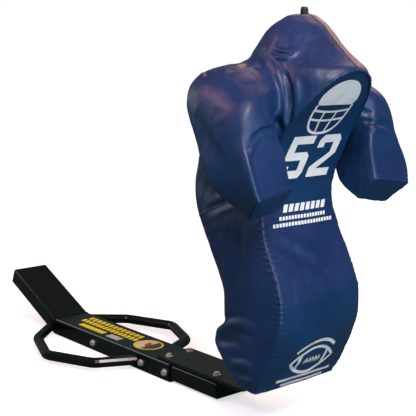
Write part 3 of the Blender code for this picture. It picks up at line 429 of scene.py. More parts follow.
def weld(name, path, radius, closed=False):
    """A weld bead along a path."""
    path = [Vector(p) for p in path]
    length = sum((b - a).length for a, b in zip(path, path[1:]))
    drops = length * 1000 / DROP_MM
    points, faces = sweep(
        path, lambda t: radius * (0.82 + 0.3 * abs(math.sin(math.pi * drops * t)) + 0.08 * math.sin(17 * t)),
        sides=10, closed=closed,
    )
    make(name, points, faces, black_enamel, "base")


def along_mitre(x, z):
    """A point on the mitre between the beam and its tail."""
    return (x, BEND_PLACE + (BEAM_TOP - z) * BEND_FALL, z)


TUBE_CORNER, CORNER_REACH = 0.0028, 0.010    # the tube's rounded corner, and where its flat top begins
mitre = [
    along_mitre(BEAM_SIDE, 0.008), along_mitre(BEAM_SIDE, BEAM_TOP - CORNER_REACH),
    along_mitre(BEAM_SIDE - TUBE_CORNER, BEAM_TOP - TUBE_CORNER),
    along_mitre(BEAM_SIDE - CORNER_REACH, BEAM_TOP), along_mitre(0.0, BEAM_TOP),
]
mitre += [(-x, y, z) for x, y, z in reversed(mitre[:-1])]
weld("weld_tail", curve_through(mitre, 36), 0.0021)

SIDES = (("left", 1), ("right", -1))
# Each end's place on the beam, and how far the pipe runs along the beam while it goes out by PIPE_OUT.
HANDLE_ENDS = {"front": (-0.2075, 0.0755), "rear": (0.4625, 0.1395)}
PIPE_RADIUS, PIPE_HEIGHT, PIPE_OUT = 0.0211, 0.0381, 0.152
BEAD_RING = PIPE_RADIUS * 1.05     # the bead lies just outside the pipe
BEAD_OUT = 0.0016
for side_name, mirror in SIDES:
    for end, (place, run) in HANDLE_ENDS.items():
        stretch = 1 / math.cos(math.atan2(run, PIPE_OUT))
        loop = [
            (mirror * (BEAM_SIDE + BEAD_OUT), place + BEAD_RING * stretch * math.cos(a),
             PIPE_HEIGHT + BEAD_RING * math.sin(a))
            for a in whole_turn(96)
        ]
        weld(f"weld_handle_{side_name}_{end}", loop, 0.0028, closed=True)

# %% [markdown]
# ## Stickers on the beam
# The beam's top carries yellow stickers, a pale one and an oval badge with a yellow rim. They are cut
# vinyl, so they are flat, satin and a fifth of a millimetre thick. Here they are plain generic shapes:
# rows of slanted bars, two bare labels, and a badge with a ball on a dark field.

# %% Stickers
def sticker_vinyl(name, colour, worn):
    """Cut vinyl film: satin, with faint grubby patches."""
    material, shader = new_material(name, colour, Roughness=0.42, IOR=1.5)
    place = add(material, "ShaderNodeTexCoord").outputs["Object"]
    grime = add(material, "ShaderNodeTexNoise", {"Scale": 160.0, "Detail": 5.0, "Roughness": 0.7},
                Vector=place)
    tone = add(material, "ShaderNodeValToRGB", stops=[(0.0, colour), (0.56, colour), (0.74, worn)],
               i0=grime.outputs[0])
    link(material, tone.outputs[0], shader, "Base Color")
    return material


yellow_vinyl = sticker_vinyl("yellow_sticker_vinyl", "#E6DC1C", "#9C9722")
pale_vinyl = sticker_vinyl("pale_sticker_vinyl", "#B9BDAA", "#6E7266")
red_vinyl = sticker_vinyl("red_sticker_vinyl", "#9C4636", "#5F2D24")
green_vinyl = sticker_vinyl("dark_green_sticker_vinyl", "#2E4636", "#1D2B22")
cream_vinyl = sticker_vinyl("cream_sticker_vinyl", "#D9CFA8", "#9A9172")
FILM, FILM_GAP = 0.0002, 0.0001    # the film's thickness, and the glue under it


def beam_sticker(name, outlines, material, layer=1):
    """Flat shapes on the beam's top, each an outline of (x, y) points, on a film of vinyl."""
    points, faces = [], []
    z = BEAM_TOP + FILM_GAP
    top = z + FILM * layer
    for outline in outlines:
        first = len(points)
        n = len(outline)
        points += [(x, y, z) for x, y in outline] + [(x, y, top) for x, y in outline]
        faces.append(tuple(first + n + i for i in range(n)))
        faces += [tuple(first + k for k in (i, (i + 1) % n, (i + 1) % n + n, i + n)) for i in range(n)]
    make(name, points, faces, material, "base", smooth=False)


def slanted_bars(x_low, x_high, y_low, y_high, count, fill, slant):
    """A row of slanted bars from one end to the other."""
    pitch = (y_high - y_low) / count
    return [
        [(x_low, y), (x_high, y + slant), (x_high, y + slant + pitch * fill), (x_low, y + pitch * fill)]
        for y in [y_low + pitch * i for i in range(count)]
    ]


def oval(x, y, half_x, half_y):
    return [(x + half_x * math.cos(a), y + half_y * math.sin(a)) for a in whole_turn(56)]


def oblong(x_low, x_high, y_low, y_high):
    return [(x_low, y_low), (x_high, y_low), (x_high, y_high), (x_low, y_high)]


BADGE_Y, GROUND_Y, BADGE_BALL_Y = -0.180, -0.190, -0.178
bars = slanted_bars(0.026, 0.056, -0.085, 0.335, 13, 0.74, 0.008)
bars += slanted_bars(-0.013, 0.017, -0.100, 0.335, 15, 0.74, 0.008)
beam_sticker("sticker_bars", bars, yellow_vinyl)
beam_sticker("sticker_label", [oblong(-0.058, -0.030, 0.085, 0.280)], yellow_vinyl)
beam_sticker("sticker_pale", [oblong(-0.064, -0.028, -0.040, 0.050)], pale_vinyl)
beam_sticker("badge_rim", [oval(0.0, BADGE_Y, 0.0600, 0.0700)], yellow_vinyl)
beam_sticker("badge_field", [oval(0.0, BADGE_Y, 0.0525, 0.0615)], cream_vinyl, 2)
badge_ground = [(x, min(y, GROUND_Y)) for x, y in oval(0.0, BADGE_Y, 0.0520, 0.0610)]
beam_sticker("badge_ground", [badge_ground], green_vinyl, 3)
ball_points = [(0.030 * t, 0.013 * (1 - t * t)) for t in np.linspace(-1, 1, 15)]
ball_points += [(x, -y) for x, y in reversed(ball_points[1:-1])]
turned, aside = math.cos(math.radians(35)), math.sin(math.radians(35))
badge_ball = [(x * turned - y * aside, BADGE_BALL_Y + x * aside + y * turned) for x, y in ball_points]
beam_sticker("badge_ball", [badge_ball], red_vinyl, 4)

# %% [markdown]
# ## The figure's form
# The cover is sewn from flat panels and pulled over a foam form. To get one continuous surface that
# still shows what is under it, the form is lofted first: the body from its outlines, and each arm from
# sections along its spine. Then everything is remeshed into one skin, which rounds the joins as cloth
# does when it bridges from one volume to the next. Heights are from the ground. Places along Y are
# given from the sled's nose and moved to the model's frame at the end.

# %% Outlines of the body
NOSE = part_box("nose_plate")[0].y
PAD_SHIFT = Vector((0.0, NOSE, 0.0))
FRONT_LINE = (
    (0.13, -0.325), (0.20, -0.364), (0.30, -0.420), (0.40, -0.454), (0.46, -0.456), (0.53, -0.438),
    (0.60, -0.404), (0.68, -0.364), (0.76, -0.345), (0.86, -0.364), (0.93, -0.392), (1.00, -0.429),
    (1.06, -0.473), (1.11, -0.515), (1.15, -0.549), (1.18, -0.574), (1.206, -0.590), (1.235, -0.557),
    (1.28, -0.506), (1.32, -0.466), (1.355, -0.428), (1.378, -0.388),
)
REAR_LINE = (
    (0.13, -0.240), (0.19, -0.185), (0.24, -0.120), (0.285, -0.084), (0.32, -0.094), (0.36, -0.130),
    (0.45, -0.126), (0.52, -0.096), (0.60, -0.048), (0.68, 0.002), (0.75, 0.044), (0.82, 0.066),
    (0.90, 0.052), (1.00, -0.006), (1.10, -0.068), (1.20, -0.135), (1.24, -0.164), (1.30, -0.206),
    (1.34, -0.238), (1.378, -0.305),
)
SIDE_LINE = (
    (0.13, 0.186), (0.20, 0.203), (0.30, 0.200), (0.40, 0.196), (0.50, 0.193), (0.60, 0.190),
    (0.68, 0.186), (0.76, 0.174), (0.82, 0.164), (0.88, 0.163), (1.02, 0.169),
    (1.12, 0.169), (1.18, 0.167), (1.24, 0.158), (1.30, 0.132), (1.34, 0.105), (1.378, 0.060),
)
EDGE_LINE = (
    (0.13, 0.008), (0.20, 0.006), (0.68, 0.006), (0.84, 0.007), (1.00, 0.012), (1.06, 0.019),
    (1.11, 0.036), (1.15, 0.062), (1.18, 0.091), (1.197, 0.126), (1.203, 0.154),
)
CROWN_LINE = ((0.13, 0.003), (0.30, 0.009), (0.60, 0.009), (0.84, 0.007), (1.00, 0.005), (1.20, 0.002))
FLANK_ROUND = (
    (0.13, 4.0), (0.70, 4.0), (0.90, 3.8), (1.10, 2.8), (1.20, 1.9), (1.26, 1.5), (1.33, 1.5), (1.378, 1.7),
)
BACK_ROUND = ((0.13, 4.6), (0.70, 4.6), (0.90, 4.0), (1.15, 2.8), (1.25, 2.2), (1.378, 2.0))
PEAK_HEIGHT, TOP_RING, CROWN_HEIGHT = 1.206, 1.378, 1.385
FRONT_STEPS, FLANK_STEPS, BACK_STEPS = 8, 14, 14


def secant(line, i):
    return (line[i + 1][1] - line[i][1]) / (line[i + 1][0] - line[i][0])


def tangent(line, i):
    """The slope at an outline's point, flat at a turning point."""
    if i in (0, len(line) - 1):
        return secant(line, min(i, len(line) - 2))
    before, after = secant(line, i - 1), secant(line, i)
    return 2 * before * after / (before + after) if before * after > 0 else 0.0


def line_at(line, height):
    """Reads a smooth curve through an outline's points."""
    height = min(max(height, line[0][0]), line[-1][0])
    k = next(i for i in range(len(line) - 1) if height <= line[i + 1][0])
    span = line[k + 1][0] - line[k][0]
    t = (height - line[k][0]) / span
    return (line[k][1] * (1 + 2 * t) * (1 - t) ** 2 + line[k + 1][1] * t * t * (3 - 2 * t)
            + tangent(line, k) * span * t * (1 - t) ** 2 - tangent(line, k + 1) * span * t * t * (1 - t))


def smooth_step(value, start, end):
    t = min(max((value - start) / (end - start), 0.0), 1.0)
    return t * t * (3 - 2 * t)


def section(height):
    """Half the body's section at a height, from the middle of the front round to the middle of the back."""
    front, rear, side = (line_at(line, height) for line in (FRONT_LINE, REAR_LINE, SIDE_LINE))
    edge = max(side - line_at(EDGE_LINE, height), 0.0) if height < PEAK_HEIGHT - 0.0003 else 0.0
    crown = line_at(CROWN_LINE, height) if edge else 0.0
    widest = (front + rear) / 2
    shares = [i / FRONT_STEPS for i in range(FRONT_STEPS + 1)]
    points = [(edge * i / FRONT_STEPS, front + crown * share ** 2) for i, share in enumerate(shares)]
    power = line_at(FLANK_ROUND, height)
    start = math.acos((edge / side) ** (power / 2))
    depth = (widest - front - crown) / math.sin(start) ** (2 / power)
    for i in range(1, FLANK_STEPS + 1):
        angle = start * (1 - i / FLANK_STEPS)
        across = side * math.cos(angle) ** (2 / power)
        points.append((across, widest - depth * math.sin(angle) ** (2 / power)))
    power = line_at(BACK_ROUND, height)
    for i in range(1, BACK_STEPS + 1):
        angle = math.pi / 2 * i / BACK_STEPS
        across = side * math.cos(angle) ** (2 / power) if i < BACK_STEPS else 0.0
        points.append((across, widest + (rear - widest) * math.sin(angle) ** (2 / power)))
    return points


print("width at the belly in mm:", round(2000 * line_at(SIDE_LINE, 0.3)))

# %% [markdown]
# The hem isn't level: it rises over the leaf's bend at the back. So the lowest rings tilt, and the tilt
# dies out above them. Each point's height depends on how far back it lies and the other way round, so
# the two are worked out in turn until they settle.

# %% The body's form
HEM_FRONT = 0.142
HEM_RISE = 0.079                   # higher over the leaf
LEVEL = 0.42                       # the rings are level from here up
TILTED_ROWS, LEVEL_ROWS = 34, 90
# Each ring of the crown's dome: its share of the top ring's width, and of the way down to that ring.
CROWN_DOME = ((0.86, 0.62), (0.70, 0.34), (0.50, 0.14), (0.28, 0.04), (0.10, 0.0))


def hem_height(y):
    """The cover's lower edge, by how far back it is from the sled's nose."""
    return HEM_FRONT + HEM_RISE * smooth_step(y, -0.300, -0.110)


def settled_half(start, height_at, rounds=25):
    """Half a ring whose height changes with how far back each of its points lies."""
    found = []
    for index in range(len(section(start))):
        height = start
        for _ in range(rounds):
            x, y = section(height)[index]
            height = height_at(y)
        found.append((x, y, height))
    return found


def tilted_ring(share):
    """A ring between the hem (0) and the first level ring (1)."""
    return settled_half(HEM_FRONT, lambda y: hem_height(y) * (1 - share) + LEVEL * share)


def mirrored_ring(half_ring):
    """A whole ring from its half."""
    return half_ring + [(-x, y, z) for x, y, z in reversed(half_ring[1:-1])]


def body_form():
    """The body and hood as one closed loft."""
    halves = [tilted_ring(share) for share in np.linspace(0, 1, TILTED_ROWS)]
    for level in np.linspace(LEVEL, TOP_RING, LEVEL_ROWS)[1:]:
        halves.append([(x, y, level) for x, y in section(level)])
    rows = [mirrored_ring(half_ring) for half_ring in halves]
    last = [Vector(p) for p in rows[-1]]
    centre = sum(last, Vector()) / len(last)
    for share, drop in CROWN_DOME:
        rows.append([
            (p.x * share, centre.y + (p.y - centre.y) * share, CROWN_HEIGHT - (CROWN_HEIGHT - p.z) * drop)
            for p in last
        ])
    columns = len(last)
    points = [Vector(p) + PAD_SHIFT for row in rows for p in row]
    faces = grid_faces(len(rows), columns, closed_columns=True)
    faces.append(tuple(range(columns - 1, -1, -1)))
    faces.append(tuple(range((len(rows) - 1) * columns, len(rows) * columns)))
    return points, faces


body_points, body_faces = body_form()
print("body form:", len(body_points), "points")

# %% [markdown]
# Each arm is a block of foam that hangs from the shoulder and tapers towards the hand. Its sections
# run from a rounded box at the hand to a full, soft shoulder. The hand's end is cut on a slant.

# %% The arms' form
HAND_PLACE, HAND_HEIGHT = -0.478, 0.800
ARM_DROOP = math.radians(54.3)
ARM_ALONG = (0.004, 0.060, 0.120, 0.175, 0.230, 0.290, 0.350, 0.410, 0.455, 0.485, 0.503)
ARM_INNER = (0.176, 0.181, 0.191, 0.203, 0.206, 0.160, 0.070, 0.040, 0.030, 0.020, 0.010)
ARM_OUTER = (0.336, 0.352, 0.363, 0.367, 0.369, 0.370, 0.368, 0.358, 0.338, 0.310, 0.272)
ARM_FRONT = (0.050, 0.068, 0.086, 0.108, 0.140, 0.160, 0.150, 0.124, 0.096, 0.066, 0.032)
ARM_REAR = (-0.054, -0.078, -0.099, -0.113, -0.117, -0.119, -0.121, -0.117, -0.102, -0.080, -0.052)
ARM_SQUARE = (14.0, 14.0, 11.0, 5.5, 3.2, 2.5, 2.4, 2.3, 2.2, 2.2, 2.2)
ARM_ROOT, HAND_CLEAR = 0.100, 0.187     # how far in the shoulder may reach, and the hand beside the body
ROOT_START, ROOT_END = 0.200, 0.290     # the stretch of the arm in which the one turns into the other
ARM_TWIST = 0.13
HAND_FALL, HAND_LIFT, HAND_SPLAY, HAND_SLANT_END = -0.19, 0.18, 0.32, 0.150
ARM_SIDES, ARM_ROWS = 64, 44
DOME_START = 0.006                 # the shoulder's dome begins this far before the spine's end
SHOULDER_DOME = ((0.86, 0.005), (0.64, 0.009), (0.38, 0.0115), (0.12, 0.0125))


def arm_point(mirror, x, along, depth):
    """A point of an arm from its place along the spine and its depth in front of it."""
    y = HAND_PLACE + along * math.cos(ARM_DROOP) - depth * math.sin(ARM_DROOP)
    z = HAND_HEIGHT + along * math.sin(ARM_DROOP) + depth * math.cos(ARM_DROOP)
    return Vector((mirror * x, y, z)) + PAD_SHIFT


def arm_form(mirror):
    """One arm as a closed loft, which reaches into the body."""
    profiles = (ARM_INNER, ARM_OUTER, ARM_FRONT, ARM_REAR, ARM_SQUARE)
    tables = [list(zip(ARM_ALONG, values)) for values in profiles]
    points = []
    for along in np.linspace(ARM_ALONG[0], ARM_ALONG[-1] - DOME_START, ARM_ROWS):
        inner, outer, front, rear, power = (line_at(table, along) for table in tables)
        middle = (inner + outer) / 2
        twist = ARM_TWIST * smooth_step(along, 0.060, 0.230)
        slant = 1 - smooth_step(along, 0.0, HAND_SLANT_END)
        reach = HAND_CLEAR + (ARM_ROOT - HAND_CLEAR) * smooth_step(along, ROOT_START, ROOT_END)
        for i in range(ARM_SIDES):
            angle = math.tau * (i + 0.5) / ARM_SIDES
            across = math.copysign(abs(math.cos(angle)) ** (2 / power), math.cos(angle))
            ahead = math.copysign(abs(math.sin(angle)) ** (2 / power), math.sin(angle))
            depth = (front + rear) / 2 + (front - rear) / 2 * ahead
            x = max(middle + (outer - inner) / 2 * across + slant * HAND_SPLAY * depth, reach)
            lift = slant * (HAND_FALL * (x - middle) + HAND_LIFT * depth)
            points.append(arm_point(mirror, x, along + lift, depth - twist * (x - middle)))
    last = points[-ARM_SIDES:]
    centre = sum(last, Vector()) / ARM_SIDES
    rise = arm_point(mirror, 0, 1, 0) - arm_point(mirror, 0, 0, 0)
    for share, further in SHOULDER_DOME:
        points += [centre + (p - centre) * share + rise * further for p in last]
    rows = ARM_ROWS + len(SHOULDER_DOME)
    faces = grid_faces(rows, ARM_SIDES, closed_columns=True)
    faces.append(tuple(range(ARM_SIDES - 1, -1, -1)))
    faces.append(tuple(range((rows - 1) * ARM_SIDES, rows * ARM_SIDES)))
    return points, faces


arm_forms = {mirror: arm_form(mirror) for mirror in (1, -1)}
print("arm form:", len(arm_forms[1][0]), "points each")

# %% [markdown]
# A slot is cut in the form's underside first, where the leaf goes in. Then the voxel remesh melts body
# and arms into one closed skin of even quads about 5 mm across, and a light smoothing takes off the
# voxels' own grain.

# %% One skin
VOXEL = 0.0048
leaf_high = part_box("leaf_upright")[1]
bend_low, bend_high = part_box("leaf_bend")
SLOT_SIDE, SLOT_FRONT, SLOT_RISE = 0.010, 0.018, 0.006
WEB_PLACE, WEB_RADII = (0.190, -1.066, 1.108), (0.042, 0.070, 0.088)   # the cloth web in front of an armpit


def solid_from(name, points, faces):
    """A closed mesh object, not yet part of the scene's table."""
    mesh = bpy.data.meshes.new(name)
    mesh.from_pydata([tuple(p) for p in points], [], faces)
    bm = bmesh.new()
    bm.from_mesh(mesh)
    bmesh.ops.recalc_face_normals(bm, faces=bm.faces)
    bm.to_mesh(mesh)
    bm.free()
    return into_scene(name, mesh)


def applied(thing):
    """Applies an object's modifiers to its mesh."""
    graph = bpy.context.evaluated_depsgraph_get()
    mesh = bpy.data.meshes.new_from_object(thing.evaluated_get(graph))
    thing.modifiers.clear()
    thing.data = mesh


form = solid_from("form", body_points, body_faces)
half_slot = leaf_high.x + SLOT_SIDE
slot_corners = [
    (x, y, z)
    for x in (-half_slot, half_slot)
    for y in (bend_low.y - SLOT_FRONT, 1.0)
    for z in (-0.5, bend_high.z + SLOT_RISE)
]
slot_faces = [(0, 1, 3, 2), (4, 6, 7, 5), (0, 4, 5, 1), (2, 3, 7, 6), (0, 2, 6, 4), (1, 5, 7, 3)]
slot = solid_from("leaf_slot", slot_corners, slot_faces)
cut = form.modifiers.new("slot", "BOOLEAN")
cut.operation, cut.object = "DIFFERENCE", slot
applied(form)
bpy.data.objects.remove(slot)
joined = bmesh.new()
joined.from_mesh(form.data)
for points, faces in arm_forms.values():
    arm = solid_from("arm_form", points, faces)
    joined.from_mesh(arm.data)
    bpy.data.objects.remove(arm)
for mirror in (1, -1):
    x, y, z = WEB_PLACE
    place = Matrix.Translation((mirror * x, y, z)) @ Matrix.Diagonal((*WEB_RADII, 1.0))
    bmesh.ops.create_icosphere(joined, subdivisions=3, radius=1.0, matrix=place)
joined.to_mesh(form.data)
joined.free()
remesh = form.modifiers.new("remesh", "REMESH")
remesh.mode, remesh.voxel_size = "VOXEL", VOXEL
soften = form.modifiers.new("soften", "SMOOTH")
soften.factor, soften.iterations = 0.5, 3
applied(form)
print("skin:", len(form.data.vertices), "points")

# %% [markdown]
# ## Folds, creases and puckers
# Vinyl-coated cloth is stiff, so it doesn't drape in soft waves. It lies smooth over the foam and then
# breaks into a few definite folds where it turns a corner or where a seam pulls it short. Each such
# fold is a line on the figure with a depth and a width. The skin is moved along its own normals: in
# along a crease, out along a ridge, and a crease throws up a small lip on each side.

# %% Fold tools
def skin_arrays(thing):
    """The points and normals of a mesh as arrays."""
    count = len(thing.data.vertices)
    points = np.zeros(count * 3)
    normals = np.zeros(count * 3)
    thing.data.vertices.foreach_get("co", points)
    thing.data.vertices.foreach_get("normal", normals)
    return points.reshape(-1, 3), normals.reshape(-1, 3)


def distance_along(points, path):
    """How far each point lies from a path, and how far along it."""
    path = np.array(path)
    lengths = np.linalg.norm(np.diff(path, axis=0), axis=1)
    starts = np.concatenate(([0.0], np.cumsum(lengths)))
    nearest = np.full(len(points), 1e9)
    share = np.zeros(len(points))
    for k in range(len(path) - 1):
        step = path[k + 1] - path[k]
        t = np.clip(((points - path[k]) @ step) / max(step @ step, 1e-12), 0, 1)
        away = np.linalg.norm(points - (path[k] + t[:, None] * step), axis=1)
        closer = away < nearest
        nearest[closer] = away[closer]
        share[closer] = ((starts[k] + t * lengths[k]) / starts[-1])[closer]
    return nearest, share


FOLD_GAIN, FOLD_FADE = 1.8, 0.6    # how boldly folds are drawn, and how soon they fade at their ends
HOLD_LEAST = 0.02                  # cloth that is held less than this isn't moved


def bridged(thing, path, width, rounds):
    """Spans the hollow along a path as taut cloth would: a point moves to the middle of its neighbours
    only where that lies outside the skin, so what stands out stays."""
    points, normals = skin_arrays(thing)
    edges = np.zeros(2 * len(thing.data.edges), dtype=int)
    thing.data.edges.foreach_get("vertices", edges)
    edges = edges.reshape(-1, 2)
    hold = np.exp(-(distance_along(points, path)[0] / width) ** 2)
    edges = edges[(hold[edges] > HOLD_LEAST).all(axis=1)]
    ends = np.concatenate((edges[:, 0], edges[:, 1]))
    others = np.concatenate((edges[:, 1], edges[:, 0]))
    used, ends = np.unique(ends, return_inverse=True)
    count = np.bincount(ends)
    for _ in range(rounds):
        middle = np.column_stack([np.bincount(ends, points[others, k]) for k in range(3)]) / count[:, None]
        move = (middle - points[used]) * hold[used, None]
        outward = np.einsum("ij,ij->i", move, normals[used]) > 0
        points[used[outward]] += move[outward]
    thing.data.vertices.foreach_set("co", points.ravel())
    thing.data.update()


def fold(points, path, depth_mm, width_mm, lip):
    """How far a fold moves each point along its normal. A negative depth is a crease with lips."""
    path = curve_through(path, 8) if len(path) > 2 else path
    width = width_mm / 1000
    low, high = np.min(path, axis=0) - 4 * width, np.max(path, axis=0) + 4 * width
    near = np.all((points > low) & (points < high), axis=1)
    moved = np.zeros(len(points))
    away, share = distance_along(points[near], path)
    q = away / width
    shape = np.exp(-q * q) - lip * np.exp(-((q - 1.9) / 0.7) ** 2)
    taper = np.clip(np.sin(np.pi * np.clip(share, 0.0, 1.0)), 0, 1) ** FOLD_FADE
    moved[near] = FOLD_GAIN * depth_mm / 1000 * shape * taper
    return moved


print("fold tools ready")

# %% [markdown]
# The folds below start on the figure's right side, which is the near one. Each is a path, how far it
# stands out in millimetres, how wide it is, and how high its lips are. The left side gets the same kinds
# of folds, a little shifted, softer and wider, because no two sides of a sewn cover crease alike.

# %% The figure's folds
NEAR_FOLDS = (
    # the smile-shaped crease on the hood, the hollow above it and its lower lip
    ([(-0.150, -1.072, 1.270), (-0.147, -1.098, 1.258), (-0.138, -1.132, 1.257), (-0.118, -1.158, 1.282)],
     -6.5, 7, 0.5),
    ([(-0.148, -1.082, 1.288), (-0.136, -1.118, 1.288)], -4.0, 18, 0.0),
    ([(-0.150, -1.090, 1.244), (-0.138, -1.140, 1.243)], 3.5, 10, 0.0),
    # the long standing folds from the hood's side down to the brim, and the valleys between them
    ([(-0.152, -1.060, 1.245), (-0.160, -1.112, 1.190), (-0.161, -1.138, 1.115), (-0.158, -1.142, 1.030)],
     8.0, 10, 0.0),
    ([(-0.164, -1.045, 1.215), (-0.168, -1.085, 1.150), (-0.169, -1.112, 1.080), (-0.168, -1.128, 1.010)],
     -10.0, 12, 0.2),
    ([(-0.142, -1.110, 1.238), (-0.152, -1.152, 1.170), (-0.157, -1.166, 1.100), (-0.158, -1.156, 1.045)],
     -7.0, 7, 0.2),
    ([(-0.132, -1.140, 1.235), (-0.146, -1.178, 1.160), (-0.153, -1.184, 1.100), (-0.156, -1.172, 1.060)],
     3.6, 9, 0.0),
    ([(-0.118, -1.166, 1.232), (-0.136, -1.204, 1.150), (-0.148, -1.202, 1.100)], -2.6, 11, 0.2),
    ([(-0.140, -1.020, 1.275), (-0.155, -1.040, 1.235), (-0.168, -1.050, 1.195)], -3.0, 14, 0.3),
    ([(-0.060, -1.180, 1.330), (-0.095, -1.190, 1.280), (-0.112, -1.196, 1.240)], 2.6, 14, 0.4),
    # across the shoulder's root and down its front
    ([(-0.176, -0.900, 1.215), (-0.182, -0.980, 1.205), (-0.190, -1.055, 1.170), (-0.192, -1.110, 1.110)],
     -2.0, 20, 0.2),
    ([(-0.185, -1.060, 1.190), (-0.220, -1.110, 1.150), (-0.270, -1.130, 1.110)], -2.8, 12, 0.5),
    ([(-0.180, -1.000, 1.225), (-0.230, -1.020, 1.225), (-0.290, -1.010, 1.205)], -2.6, 12, 0.5),
    # the arc where the sleeve's box begins, and the puffed edge under it
    ([(-0.196, -1.150, 1.050), (-0.231, -1.172, 1.036), (-0.283, -1.172, 1.028), (-0.335, -1.158, 0.998)],
     -3.6, 7, 0.6),
    ([(-0.205, -1.168, 1.018), (-0.245, -1.184, 1.014), (-0.300, -1.186, 1.000), (-0.342, -1.176, 0.962)],
     4.2, 8, 0.2),
    ([(-0.188, -1.130, 1.085), (-0.215, -1.152, 1.072), (-0.252, -1.160, 1.062)], -3.6, 8, 0.5),
    ([(-0.300, -1.110, 1.085), (-0.335, -1.090, 1.075), (-0.362, -1.040, 1.075)], -2.4, 14, 0.3),
    # the sleeve's standing edge down to the hand
    ([(-0.345, -1.172, 0.965), (-0.352, -1.190, 0.925), (-0.350, -1.205, 0.880), (-0.345, -1.215, 0.840)],
     3.6, 9, 0.2),
    # the pinch high on the shoulder's back
    ([(-0.284, -0.918, 1.214), (-0.314, -0.948, 1.196)], -2.6, 9, 0.6),
    ([(-0.270, -0.900, 1.215), (-0.300, -0.930, 1.205), (-0.335, -0.960, 1.175)], -2.5, 12, 0.4),
    # drag lines on the sleeve's outer side
    ([(-0.366, -0.960, 1.080), (-0.368, -1.020, 1.000), (-0.362, -1.090, 0.920)], -2.5, 22, 0.2),
    ([(-0.360, -0.910, 1.060), (-0.364, -0.960, 0.960), (-0.350, -1.060, 0.860)], 2.5, 26, 0.1),
    # the waist: a soft crease that falls towards the back, and broad pulls below it
    ([(-0.150, -1.062, 0.850), (-0.172, -1.000, 0.820), (-0.172, -0.900, 0.780), (-0.165, -0.780, 0.725)],
     -3.5, 14, 0.3),
    ([(-0.130, -1.070, 0.690), (-0.060, -1.075, 0.650), (0.020, -1.090, 0.600)], 3.0, 22, 0.4),
    ([(-0.120, -1.080, 0.640), (-0.040, -1.100, 0.590), (0.050, -1.125, 0.540)], -2.6, 20, 0.4),
    ([(-0.060, -1.120, 0.540), (0.030, -1.145, 0.490), (0.110, -1.155, 0.450)], 2.2, 24, 0.3),
    # the side below the waist
    ([(-0.186, -0.960, 0.700), (-0.190, -0.970, 0.600), (-0.194, -0.985, 0.500)], -2.6, 20, 0.2),
    ([(-0.186, -0.860, 0.660), (-0.192, -0.890, 0.560), (-0.196, -0.915, 0.440)], 2.4, 24, 0.2),
    # the heel over the leaf: a soft roll and the gathers under it
    ([(-0.180, -0.800, 0.318), (-0.200, -0.880, 0.345), (-0.204, -0.970, 0.372), (-0.204, -1.050, 0.372)],
     5.0, 16, 0.4),
    ([(-0.186, -0.830, 0.282), (-0.203, -0.900, 0.300), (-0.206, -0.980, 0.318)], -5.0, 15, 0.2),
    ([(-0.200, -0.925, 0.225), (-0.206, -0.985, 0.240), (-0.207, -1.040, 0.242)], 4.0, 12, 0.4),
    ([(-0.198, -0.945, 0.196), (-0.205, -1.000, 0.205), (-0.205, -1.045, 0.208)], -3.4, 10, 0.3),
    # the belly's lower half
    ([(-0.150, -1.110, 0.290), (-0.060, -1.140, 0.320), (0.050, -1.145, 0.330)], 2.0, 22, 0.2),
    ([(-0.120, -1.065, 0.200), (-0.020, -1.085, 0.210), (0.080, -1.080, 0.205)], -2.2, 18, 0.3),
)
FAR_SHIFT = Vector((0.0, 0.006, -0.008))
FAR_DEPTH, FAR_WIDTH = 0.62, 1.15  # how deep and how wide the left side's folds are beside the right side's
ONE_SIDED = -0.09                  # a fold that comes nearer to the middle than this isn't repeated
OTHER_FOLDS = (
    # the left sleeve's own folds
    ([(0.205, -1.150, 1.040), (0.270, -1.165, 1.030), (0.330, -1.150, 1.015)], -2.4, 11, 0.4),
    ([(0.240, -1.212, 0.930), (0.280, -1.216, 0.905), (0.325, -1.205, 0.890)], 1.8, 16, 0.2),
    # the back
    ([(-0.130, -0.690, 0.960), (-0.050, -0.668, 0.900), (0.040, -0.660, 0.870)], -3.5, 20, 0.4),
    ([(0.140, -0.700, 0.930), (0.070, -0.672, 0.860), (0.000, -0.660, 0.800)], -3.0, 20, 0.4),
    ([(-0.110, -0.720, 0.640), (-0.020, -0.745, 0.580), (0.090, -0.755, 0.560)], 3.0, 24, 0.3),
    ([(-0.140, -0.815, 0.480), (0.000, -0.835, 0.430), (0.130, -0.822, 0.460)], -4.0, 18, 0.4),
    ([(-0.150, -0.835, 0.380), (0.000, -0.842, 0.360), (0.150, -0.835, 0.385)], -4.5, 14, 0.5),
    ([(-0.060, -0.790, 1.090), (0.010, -0.800, 1.060), (0.080, -0.786, 1.085)], -3.0, 18, 0.3),
)

# %% Moving the skin
# Taut cloth spans the valley between the hood's side and the shoulder, so that is filled first.
SHOULDER_VALLEY = [(0.165, -0.880, 1.200), (0.180, -0.960, 1.215), (0.190, -1.040, 1.190),
                   (0.196, -1.095, 1.135), (0.198, -1.125, 1.080), (0.200, -1.145, 1.030)]
VALLEY_WIDTH, VALLEY_ROUNDS = 0.055, 280
for mirror in (1, -1):
    bridged(form, [(mirror * x, y, z) for x, y, z in SHOULDER_VALLEY], VALLEY_WIDTH, VALLEY_ROUNDS)
points, normals = skin_arrays(form)
total = np.zeros(len(points))
for path, depth_mm, width_mm, lip in NEAR_FOLDS:
    total += fold(points, path, depth_mm, width_mm, lip)
    if max(x for x, _, _ in path) < ONE_SIDED:
        mirrored = [tuple(Vector((-x, y, z)) + FAR_SHIFT) for x, y, z in path]
        total += fold(points, mirrored, depth_mm * FAR_DEPTH, width_mm * FAR_WIDTH, lip)
for path, depth_mm, width_mm, lip in OTHER_FOLDS:
    total += fold(points, path, depth_mm, width_mm, lip)
print("folds reach from", round(total.min() * 1000, 1), "to", round(total.max() * 1000, 1), "mm")

